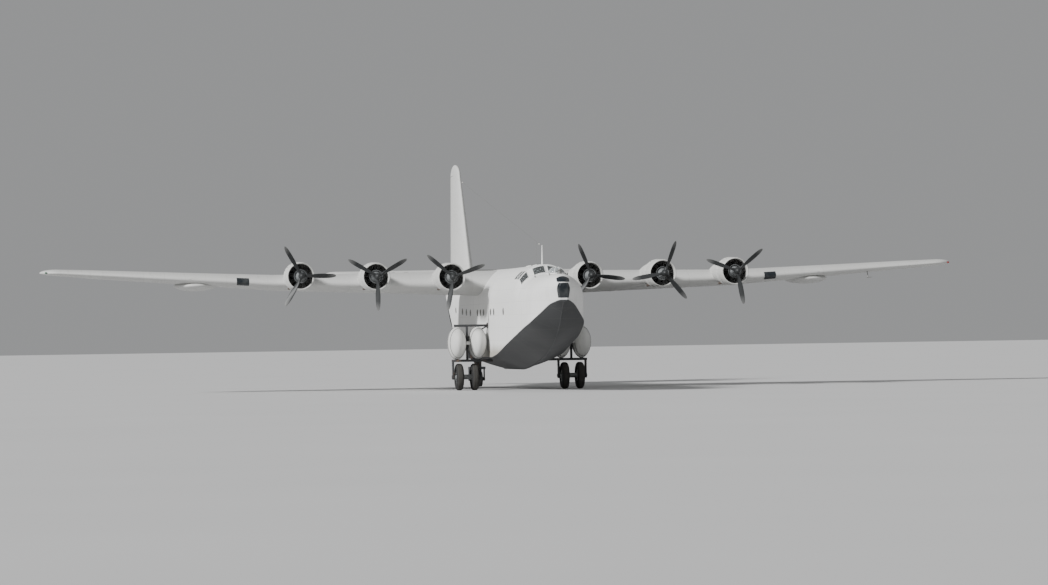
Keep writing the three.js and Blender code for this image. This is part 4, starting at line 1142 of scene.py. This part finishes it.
# Aerial: one bronze wire strained from the head of the mast to the fin, with a porcelain bead near each
# end and a lead down to the deck behind the cockpit.
PORCELAIN = painted_metal("porcelain", (0.66, 0.64, 0.60), (0.3, 0.28, 0.25), frame_pitch=0, rough=0.2)
WIRE_RADIUS = 0.006
BEAD = [(0, -0.07), (0.016, -0.065), (0.028, -0.03), (0.02, 0), (0.028, 0.03), (0.016, 0.065), (0, 0.07)]
mast_head, fin_head = place(0, 5.82, 5.8), place(0, FIN.row(10.0)[1] + 0.03, 10.0)
bm = bmesh.new()
rod(bm, mast_head, fin_head, WIRE_RADIUS, 6)
rod(bm, mast_head.lerp(fin_head, 0.06), place(0, 7.5, deck_height(0, 7.5) - 0.01), WIRE_RADIUS, 6)
finish_piece(bm, "aerial_wire", RIM_METAL, "gear_paint")
bm = bmesh.new()
for share in (0.03, 0.965):
    turned(bm, BEAD, mast_head.lerp(fin_head, share), (fin_head - mast_head).normalized(), 16)
finish_piece(bm, "aerial_beads", PORCELAIN, "topside_paint")


# Engine housings: a broad ring cowl with open gills behind it, and a long round nacelle that fairs back
# over the wing. Air leaves through the gills, and the exhaust through two pipes below.
# Columns: distance from the centre line, station of the propeller, angle of one blade
ENGINES = [
    [-10.7, 11.9, 0], [-7.05, 11.75, -90], [-3.4, 11.6, 20],
    [3.4, 11.6, 113], [7.05, 11.75, 70], [10.7, 11.9, 40],
]
ENGINE_RISE, NACELLE_PITCH = 0.3, 0.12
GILLS, GILL_SHARE, GILL_STEPS, OPEN_BELOW, GILL_SKIN = 22, 0.9, 4, 165, 0.008
COWL_PAINT = painted_metal("cowl_paint", (0.62, 0.62, 0.60), (0.12, 0.11, 0.10), frame_pitch=0, amount=0.9,
                           rough=0.42, run=(4, 0.3, 4))
EXHAUST_STEEL = painted_metal("exhaust_steel", (0.13, 0.10, 0.085), (0.03, 0.025, 0.022), frame_pitch=0,
                              amount=1.5, rough=0.55, metallic=0.6, bump=0.5)
# Columns: radius, distance behind the propeller
COWL_RING = [
    (0.6, 1.52), (0.6, 0.6), (0.603, 0.53), (0.613, 0.485), (0.63, 0.465), (0.65, 0.475), (0.666, 0.52),
    (0.678, 0.62), (0.687, 0.78), (0.69, 1.0), (0.687, 1.25), (0.677, 1.5), (0.66, 1.52),
]
NACELLE_LINES = [
    (0, 1.55), (0.61, 1.55), (0.628, 1.6), (0.63, 1.7), (0.625, 2.0), (0.612, 2.4), (0.59, 2.9), (0.56, 3.35),
    (0.52, 3.85), (0.465, 4.4), (0.39, 5.0), (0.29, 5.6), (0.17, 6.1), (0, 6.4),
]
GILL_LINES = [(0.668, 1.5), (0.69, 1.62), (0.715, 1.76)]
EXHAUST_LINES = [(0.5, 1.3), (0.58, 1.5), (0.645, 1.68), (0.672, 1.9), (0.68, 2.2), (0.69, 2.5)]
EXHAUST_ANGLES, PIPE_RADIUS = (145, 215), 0.055
PLUME_START, PLUME_RISE, PLUME_FADE, PLUME_WIDTH, PLUME_SPREAD = 2.42, 0.2, 1.8, 9, 3
STAY_COUNT, STAY_OUT, STAY_FRONT, STAY_LENGTH = 6, 0.689, 0.62, 0.8


def engine_places():
    for number, (x, plane, blade) in enumerate(ENGINES, 1):
        height = CENTRE_WING.row(abs(x))[4] + ENGINE_RISE
        yield number, place(x, plane, height), math.radians(blade)


def around(centre, angle, radius, aft):
    """A point around an engine: its angle from above, turned towards port, its radius and distance aft."""
    return centre + Vector((math.sin(angle) * radius, aft, math.cos(angle) * radius)) * METRE


def bent_pipe(bm, points, radius, sides):
    """A round pipe along a few points, as a loft of rings that stand square to it."""
    sections = []
    for i, point in enumerate(points):
        along = (points[min(i + 1, len(points) - 1)] - points[max(i - 1, 0)]).normalized()
        turn = along.to_track_quat("Z", "Y")
        sections.append([point + turn @ Vector((math.cos(a), math.sin(a), 0)) * radius * METRE
                         for a in (2 * math.pi * k / sides for k in range(sides))])
    solid(bm, sections)


def soot(co, centre):
    """How black the nacelle is behind its two exhausts, whose plumes widen and fade towards the tail."""
    out = (co - centre) / METRE
    aft = out.y - PLUME_START
    turn = math.degrees(math.atan2(abs(out.x), out.z))
    plume = math.exp(-((turn - EXHAUST_ANGLES[0]) / (PLUME_WIDTH + PLUME_SPREAD * max(aft, 0))) ** 2)
    return plume * min(max(aft / PLUME_RISE, 0), 1) * math.exp(-max(aft, 0) / PLUME_FADE)


nacelle = []
for low, high in zip(NACELLE_LINES, NACELLE_LINES[1:]):
    cuts = max(1, round((high[1] - low[1]) / NACELLE_PITCH))
    nacelle += [tuple(a + (b - a) * k / cuts for a, b in zip(low, high)) for k in range(cuts)]
nacelle.append(NACELLE_LINES[-1])
for number, centre, _ in engine_places():
    bm = bmesh.new()
    turned(bm, nacelle, centre, (0, 1, 0), 72)
    finish_piece(bm, f"nacelle_skin_{number}", COWL_PAINT, "cowl_paint", f"nacelle_{number}",
                 stain=lambda co: soot(co, centre))
    bm = bmesh.new()
    turned(bm, COWL_RING, centre, (0, 1, 0), 64, closed=True)
    for gill in range(GILLS):
        middle, half = 2 * math.pi * (gill + 0.5) / GILLS, math.pi / GILLS * GILL_SHARE
        if abs(math.degrees((middle + math.pi) % (2 * math.pi) - math.pi)) > OPEN_BELOW:
            continue
        spread = [middle - half + half * 2 * k / GILL_STEPS for k in range(GILL_STEPS + 1)]
        solid(bm, [[around(centre, a, radius, aft) for a in spread]
                   + [around(centre, a, radius - GILL_SKIN, aft) for a in reversed(spread)]
                   for radius, aft in GILL_LINES])
    for a in (math.radians(12 + 360 * k / STAY_COUNT) for k in range(STAY_COUNT)):
        stay = [around(centre, a, STAY_OUT, STAY_FRONT + STAY_LENGTH * k / 8) for k in range(9)]
        bent_pipe(bm, stay, 0.006, 6)
    finish_piece(bm, f"cowl_ring_{number}", COWL_PAINT, "cowl_paint")
    bm = bmesh.new()
    for angle in EXHAUST_ANGLES:
        bent_pipe(bm, [around(centre, math.radians(angle), r, aft) for r, aft in EXHAUST_LINES],
                  PIPE_RADIUS, 16)
    finish_piece(bm, f"exhaust_pipes_{number}", EXHAUST_STEEL, "engine_metal")


# Engines: nine-cylinder air-cooled radials. Each finned steel barrel with its light-alloy head stands on
# a cast crankcase, with two push-rod tubes in front and a shared ring for the ignition leads.
CYLINDERS, CYLINDER_PLANE, CASE_BOLTS, CASE_BOLT_CIRCLE = 9, 0.92, 18, 0.235
ENGINE_METAL = painted_metal("engine_metal", (0.10, 0.10, 0.10), (0.035, 0.03, 0.026), frame_pitch=0,
                             amount=1.4, rough=0.45, metallic=0.75, bump=0.4)
CRANKCASE_PAINT = painted_metal("crankcase_paint", (0.20, 0.21, 0.215), (0.05, 0.045, 0.04), frame_pitch=0,
                                amount=1.2, rough=0.42)
# Fins of the barrel and of the head: count, first, pitch, inner and outer radius, rise of the outer edge, end
FINS = [[8, 0.25, 0.025, 0.075, 0.1, 0.009, 0.013], [4, 0.455, 0.024, 0.085, 0.112, 0.01, 0.014]]
BARREL = [(0, 0.22), (0.075, 0.22)]
for count, first, pitch, inner, outer, rise, end in FINS:
    for foot in (first + fin * pitch for fin in range(count)):
        BARREL += [(inner, foot), (outer, foot + 0.004), (outer, foot + rise), (inner, foot + end)]
BARREL += [(0.06, 0.555), (0, 0.56)]
CRANKCASE = [
    (0, 0.165), (0.062, 0.165), (0.062, 0.33), (0.1, 0.36), (0.15, 0.41), (0.185, 0.5), (0.2, 0.6),
    (0.255, 0.66), (0.27, 0.72), (0.27, 1.14), (0.36, 1.22), (0.42, 1.3), (0.42, 1.545), (0, 1.545),
]
LEAD_RING = [(0.31 + 0.016 * math.cos(t), 0.62 + 0.016 * math.sin(t))
             for t in (math.pi / 4 * k for k in range(8))]


def ahead(distance):
    return Vector((0, -distance, 0))


for number, centre, _ in engine_places():
    bm = bmesh.new()
    foot = centre - ahead(CYLINDER_PLANE) * METRE
    for a in (2 * math.pi * i / CYLINDERS for i in range(CYLINDERS)):
        out, across = Vector((math.sin(a), 0, math.cos(a))), Vector((math.cos(a), 0, -math.sin(a)))
        turned(bm, BARREL, foot, out, 16)
        for side in (-1, 1):
            low = foot + (out * 0.25 + across * side * 0.045 + ahead(0.19)) * METRE
            high = foot + (out * 0.53 + across * side * 0.07 + ahead(0.1)) * METRE
            rod(bm, low, high, 0.011, 8)
            rod(bm, high - out * 0.02, high + out * 0.012, 0.026, 10)
        spark = foot + (out * 0.44 + ahead(0.115)) * METRE
        lead = foot + (out * 0.3 + across * 0.03 + ahead(0.3)) * METRE
        bent_pipe(bm, [lead, (lead + spark) / 2 + ahead(0.02), spark], 0.006, 6)
    finish_piece(bm, f"cylinders_{number}", ENGINE_METAL, "engine_metal", f"engine_{number}", sharp=40)
    bm = bmesh.new()
    turned(bm, CRANKCASE, centre, (0, 1, 0), 36)
    turned(bm, LEAD_RING, centre, (0, 1, 0), 40, closed=True)
    for a in (2 * math.pi * i / CASE_BOLTS for i in range(CASE_BOLTS)):
        rod(bm, around(centre, a, CASE_BOLT_CIRCLE, 0.6), around(centre, a, CASE_BOLT_CIRCLE, 0.66), 0.009, 6)
    finish_piece(bm, f"crankcase_{number}", CRANKCASE_PAINT, "engine_metal")


# Propellers: three twisted metal blades in a round hub with a small pointed nose, painted nearly black
# against glare, with the paint worn to metal towards the tips.
# Columns: radius, chord, thickness, pitch in degrees
BLADE_LINES = [
    [0.1, 0.13, 0.12, 60], [0.22, 0.135, 0.115, 56], [0.35, 0.19, 0.07, 52], [0.8, 0.27, 0.045, 38],
    [1.35, 0.23, 0.025, 27], [1.6, 0.12, 0.016, 22.5], [1.65, 0.03, 0.01, 22],
]
BLADE_PAINT = painted_metal("blade_paint", (0.028, 0.03, 0.031), (0.16, 0.16, 0.155), frame_pitch=0,
                            amount=0.7, rough=0.4, streaks=0, soot=(0.24, 0.24, 0.235))
BLADE_RADII = [0.1, 0.16, 0.22, 0.28, 0.35, 0.5, 0.65, 0.8, 1.0, 1.2, 1.35, 1.45, 1.53, 1.6, 1.63, 1.65]
BLADES, BLADE_SIDES = 3, 20
WEAR_START, WEAR_REACH, WEAR_MOST = 1.2, 0.45, 0.7
HUB = [
    (0, -0.26), (0.035, -0.255), (0.075, -0.235), (0.115, -0.19), (0.142, -0.13), (0.16, -0.05),
    (0.17, 0.02), (0.17, 0.09), (0.16, 0.105), (0.1, 0.159), (0, 0.159),
]


def blade_section(radius):
    _, chord, thickness, pitch = fair(BLADE_LINES, radius)
    c, s = math.cos(math.radians(pitch)), math.sin(math.radians(pitch))
    for t in (2 * math.pi * k / BLADE_SIDES for k in range(BLADE_SIDES)):
        u, v = math.cos(t) * chord / 2, math.sin(t) * thickness / 2 * (1 + 0.25 * math.cos(t))
        yield Vector((radius, v * c - u * s, v * s + u * c)) * METRE


def wear(co, centre):
    """How far the paint of a blade is gone, which grows towards its tip."""
    return min(max(((co - centre).length / METRE - WEAR_START) / WEAR_REACH, 0), 1) * WEAR_MOST


for number, centre, blade_angle in engine_places():
    bm = bmesh.new()
    turned(bm, HUB, centre, (0, 1, 0), 40)
    for blade in range(BLADES):
        turn = Matrix.Rotation(-blade_angle + blade * 2 * math.pi / BLADES, 3, "Y")
        solid(bm, [[centre + turn @ point for point in blade_section(radius)] for radius in BLADE_RADII])
        collar = turn @ Vector((1, 0, 0))
        rod(bm, centre + collar * 0.12 * METRE, centre + collar * 0.24 * METRE, 0.075, 24)
    finish_piece(bm, f"propeller_skin_{number}", BLADE_PAINT, "blade_paint", f"propeller_{number}",
                 f"propeller_{number}",
                 stain=lambda co: wear(co, centre))


# Beaching gear: a bolted frame of steel beams goes on each side of the hull while the boat floats. It
# holds two float tanks, which bear it up until the wheels touch, and a pair of balloon tyres.
GEAR_STATION, GEAR_OFFSET, WHEEL_RADIUS, TREAD, TYRE_HALF, RIM = 13.0, 2.6, 0.65, 0.38, 0.18, 0.34
GEAR_PAINT = painted_metal("gear_paint", (0.045, 0.047, 0.05), (0.15, 0.085, 0.05), frame_pitch=0, amount=1.3,
                           rough=0.55, bump=0.4, streaks=0.75, run=(6, 6, 2))
TANK_PAINT = painted_metal("tank_paint", (0.64, 0.64, 0.62), (0.19, 0.17, 0.14), frame_pitch=0, amount=1.0)
# Inner and outer x, front and back from the axle, foot and top over the ground, edge
GEAR_BEAMS = [
    [1.35, 3.3, -0.3, -0.18, 1.38, 1.5, 0.012], [1.35, 3.3, 0.18, 0.3, 1.38, 1.5, 0.012],
    *([x - 0.05, x + 0.05, -0.2, 0.2, 1.4, 1.48, 0.01] for x in (1.7, 2.2, 2.57, 2.95, 3.24)),
    [1.54, 3.2, -0.09, 0.09, 3.09, 3.2, 0.012], [2.53, 2.61, -0.14, 0.14, 1.48, 3.1, 0.012],
    [1.535, 1.58, -0.16, 0.16, 3.02, 3.27, 0.008],
]
AXLE_CAP = [(0, 0.035), (0.11, 0.035), (0.11, 0.055), (0.06, 0.075), (0, 0.075)]
BOLT_HEAD = [(0, 0.03), (0.022, 0.03), (0.022, 0.048), (0, 0.05)]
TANK_OFFSETS, TANK_HEIGHT, TANK_RADII = (2.07, 3.07), 2.295, (0.44, 1.0, 0.794)
STRAP_PLACES, STRAP_STEPS = (-0.45, 0.0, 0.45), 48
STRAP_SECTION = ((-0.03, -1), (0.03, -1), (0.03, 1), (-0.03, 1))
PLATE_OFFSET, PLATE_HALF, AXLE_HALF, AXLE_RADIUS = 0.67, 0.035, 0.68, 0.069
PLATE_BOLTS = [(1.2, -0.1), (1.2, 0.1), (1.32, -0.1), (1.32, 0.1)]


def from_ground(x, station, height):
    return place(x, station, height - KEEL_HEIGHT)


def beam(bm, x0, x1, front, back, foot, top, edge):
    block(bm, (x0, x1, front, back, foot - KEEL_HEIGHT, top - KEEL_HEIGHT), edge)


def strap_sections(centre, along):
    """A flat band round a tank, a little way into its skin and out of it."""
    size = math.sqrt(1 - along ** 2)
    for k in range(STRAP_STEPS + 1):
        a = 2 * math.pi * k / STRAP_STEPS
        radial = Vector((math.sin(a) * TANK_RADII[0] * size, 0, math.cos(a) * TANK_RADII[2] * size))
        lift = radial.normalized() * 0.008
        yield [centre + (Vector((0, along + w, 0)) + radial + lift * d) * METRE for w, d in STRAP_SECTION]


s = GEAR_STATION
for side, way in SIDES:
    bm = bmesh.new()
    for x0, x1, front, back, foot, top, edge in GEAR_BEAMS:
        beam(bm, way * x0, way * x1, s + front, s + back, foot, top, edge)
    for end in (-1, 1):
        x = GEAR_OFFSET + end * PLATE_OFFSET
        beam(bm, way * (x - PLATE_HALF), way * (x + PLATE_HALF), s - 0.16, s + 0.16, 0.52, 1.42, 0.012)
        turned(bm, AXLE_CAP, from_ground(way * x, s, WHEEL_RADIUS), (way * end, 0, 0), 24)
        for up, along in PLATE_BOLTS:
            turned(bm, BOLT_HEAD, from_ground(way * x, s + along, up), (way * end, 0, 0), 6)
    rod(bm, *(from_ground(way * (GEAR_OFFSET + end * AXLE_HALF), s, WHEEL_RADIUS) for end in (-1, 1)),
        AXLE_RADIUS, 28)
    for along in (-0.1, 0.1):
        rod(bm, from_ground(way * 2.57, s + along, 2.55), from_ground(way * 1.6, s + along, 3.1), 0.03, 14)
    finish_piece(bm, f"gear_beams_{side}", GEAR_PAINT, "gear_paint", f"gear_frame_{side}")
    bm, straps = bmesh.new(), bmesh.new()
    for centre in (from_ground(way * x, s, TANK_HEIGHT) for x in TANK_OFFSETS):
        ellipsoid(bm, centre, TANK_RADII, 56, 32, Matrix.Rotation(math.pi / 2, 4, "X"))
        for along in STRAP_PLACES:
            loft(straps, list(strap_sections(centre, along)))
    for along in (-0.4, 0.4):
        rod(bm, *(from_ground(way * x, s + along, TANK_HEIGHT) for x in TANK_OFFSETS), 0.08, 20)
    finish_piece(bm, f"tank_skins_{side}", TANK_PAINT, "tank_paint", f"tanks_{side}")
    finish_piece(straps, f"tank_straps_{side}", GEAR_PAINT, "gear_paint")


# Wheels: pressed steel discs bolted to a long hub, with wide smooth-shouldered tyres that carry plain
# ribs round the crown. The rubber is grey with dust.
TYRE_RUBBER = painted_metal("tyre_rubber", (0.022, 0.022, 0.022), (0.11, 0.10, 0.09), frame_pitch=0,
                            amount=0.9, rough=0.75, bump=0.3, streaks=0.06, soot=(0.10, 0.095, 0.085))
WHEEL_PAINT = painted_metal("wheel_paint", (0.26, 0.27, 0.27), (0.08, 0.07, 0.06), frame_pitch=0, amount=1.0,
                            rough=0.5, run=(1, 1, 1))
# Radius, share of the tyre's half width: beads, bulging walls, shoulders and a crown with four ribs
TYRE = [
    (RIM + 0.001, 0.85), (0.36, 0.95), (0.40, 1.0), (0.46, 1.0), (0.52, 0.97), (0.575, 0.88),
    (0.61, 0.76), (0.632, 0.6), (0.638, 0.56), (0.622, 0.54), (0.622, 0.48), (0.645, 0.46),
    (0.6485, 0.28), (0.632, 0.26), (0.632, 0.2), (0.649, 0.18), (0.65, 0.0),
]
DISC_FACE = [(0.15, 0.117), (0.2, 0.1), (0.27, 0.1), (0.31, 0.117), (0.34, 0.125), (0.34, 0.06)]
HUB_END = [(0.072, -0.62), (0.13, -0.62), (0.14, -0.6), (0.14, -0.54)]
WHEEL_BOLTS, BOLT_CIRCLE, WHEEL_BOLT = 10, 0.235, [(0, -0.01), (0.02, -0.01), (0.02, 0.02), (0, 0.024)]
DUST_RADIUS, DUST = 0.61, 0.5


def mirror_profile(profile):
    return [(radius, -distance) for radius, distance in reversed(profile)]


half_hub = HUB_END + [(r, -TREAD - d) for r, d in DISC_FACE]
half_hub += [(r, -TREAD + d) for r, d in reversed(DISC_FACE)]
half_hub.append((0.12, -0.2))
for side, way in SIDES:
    centre = from_ground(way * GEAR_OFFSET, GEAR_STATION, WHEEL_RADIUS)
    bm = bmesh.new()
    turned(bm, half_hub + mirror_profile(half_hub), centre, (1, 0, 0), 56, closed=True)
    for end in (-1, 1):
        for a in (2 * math.pi * k / WHEEL_BOLTS for k in range(WHEEL_BOLTS)):
            out = (end * (TREAD + 0.1), math.sin(a) * BOLT_CIRCLE, math.cos(a) * BOLT_CIRCLE)
            turned(bm, WHEEL_BOLT, centre + Vector(out) * METRE, (end, 0, 0), 6)
    finish_piece(bm, f"wheel_discs_{side}", WHEEL_PAINT, "wheel_paint", f"wheels_{side}_hub",
                 f"wheels_{side}")
    for number, end in ((1, -1), (2, 1)):
        tyre = [(r, end * TREAD + u * TYRE_HALF) for r, u in TYRE + mirror_profile(TYRE[:-1])]
        bm = bmesh.new()
        turned(bm, tyre, centre, (1, 0, 0), 72, closed=True)
        finish_piece(bm, f"tyre_{number}_{side}", TYRE_RUBBER, "tyre_rubber", f"wheels_{side}_tyre_{number}",
                     f"wheels_{side}", sharp=40,
                     stain=lambda co: DUST * ((co - centre).yz.length > DUST_RADIUS * METRE))


# Tail trolley: a saddle block cut to the keel, a swivel under it, and a fork with two small solid-tyred
# wheels. It is pinned on after the main gear.
SWIVEL, TAIL_WHEEL, TAIL_RADIUS, SADDLE_HALF = 27.0, 27.2, 0.4, 0.45
SADDLE_GRID = (0, 0.1, 0.2, 0.3, 0.4, 0.5)
SADDLE_EDGE, SADDLE_FOOT = 1.52 - KEEL_HEIGHT, 1.46 - KEEL_HEIGHT
SWIVEL_CAP = [(0, 1.38), (0.32, 1.38), (0.32, 1.45), (0.3, 1.48), (0, 1.48)]
SWIVEL_POST = [(0, 1.0), (0.14, 1.0), (0.14, 1.24), (0.2, 1.3), (0.3, 1.31), (0.3, 1.379), (0, 1.379)]
TAIL_AXLE_CAP = [(0, 0.028), (0.07, 0.028), (0.07, 0.04), (0.03, 0.05), (0, 0.05)]
TAIL_WHEELS = [
    (0.047, 0.36), (0.09, 0.36), (0.1, 0.35), (0.1, 0.27), (0.2, 0.262), (0.26, 0.275), (0.3, 0.28),
    (0.355, 0.28), (0.385, 0.268), (0.4, 0.235), (0.4, 0.105), (0.385, 0.072), (0.355, 0.06),
    (0.3, 0.06), (0.26, 0.065), (0.2, 0.078), (0.1, 0.07),
]


def saddle_section(station):
    keel, chine, foot = hull_row(station)[1:4]
    edge = foot + CHINE_LIP
    top = [(x, keel + (chine - keel - LIP_HEIGHT) * (x / edge) * (0.8 + 0.2 * (x / edge) ** 2) + 0.01)
           for x in SADDLE_GRID]
    return outline(station, top + [(0.5, SADDLE_EDGE), (0.44, SADDLE_FOOT), (0, SADDLE_FOOT)], 1)


bm = bmesh.new()
solid(bm, [saddle_section(station) for station in stations(SWIVEL - SADDLE_HALF, SWIVEL + SADDLE_HALF, 0.15)])
turned(bm, SWIVEL_CAP, from_ground(0, SWIVEL, 0), (0, 0, 1), 40)
finish_piece(bm, "tail_cradle", GEAR_PAINT, "gear_paint", "tail_saddle")
bm = bmesh.new()
turned(bm, SWIVEL_POST, from_ground(0, SWIVEL, 0), (0, 0, 1), 40)
beam(bm, -0.43, 0.43, SWIVEL - 0.15, TAIL_WHEEL + 0.15, 0.9, 1.04, 0.02)
for x in (-0.4, 0.4):
    beam(bm, x - 0.028, x + 0.028, TAIL_WHEEL - 0.1, TAIL_WHEEL + 0.1, 0.3, 0.96, 0.012)
    turned(bm, TAIL_AXLE_CAP, from_ground(x, TAIL_WHEEL, TAIL_RADIUS), (math.copysign(1, x), 0, 0), 20)
rod(bm, *(from_ground(x, TAIL_WHEEL, TAIL_RADIUS) for x in (-0.41, 0.41)), 0.044, 20)
rod(bm, *(from_ground(0, SWIVEL + along, 0.97) for along in (0.3, 0.62)), 0.03, 14)
finish_piece(bm, "tail_fork_frame", GEAR_PAINT, "gear_paint", "tail_fork", "tail_fork")
bm = bmesh.new()
turned(bm, TAIL_WHEELS + mirror_profile(TAIL_WHEELS), from_ground(0, TAIL_WHEEL, TAIL_RADIUS), (1, 0, 0), 56,
       closed=True)
finish_piece(bm, "tail_wheel_pair", TYRE_RUBBER, "tyre_rubber", "wheels_tail", "wheels_tail")
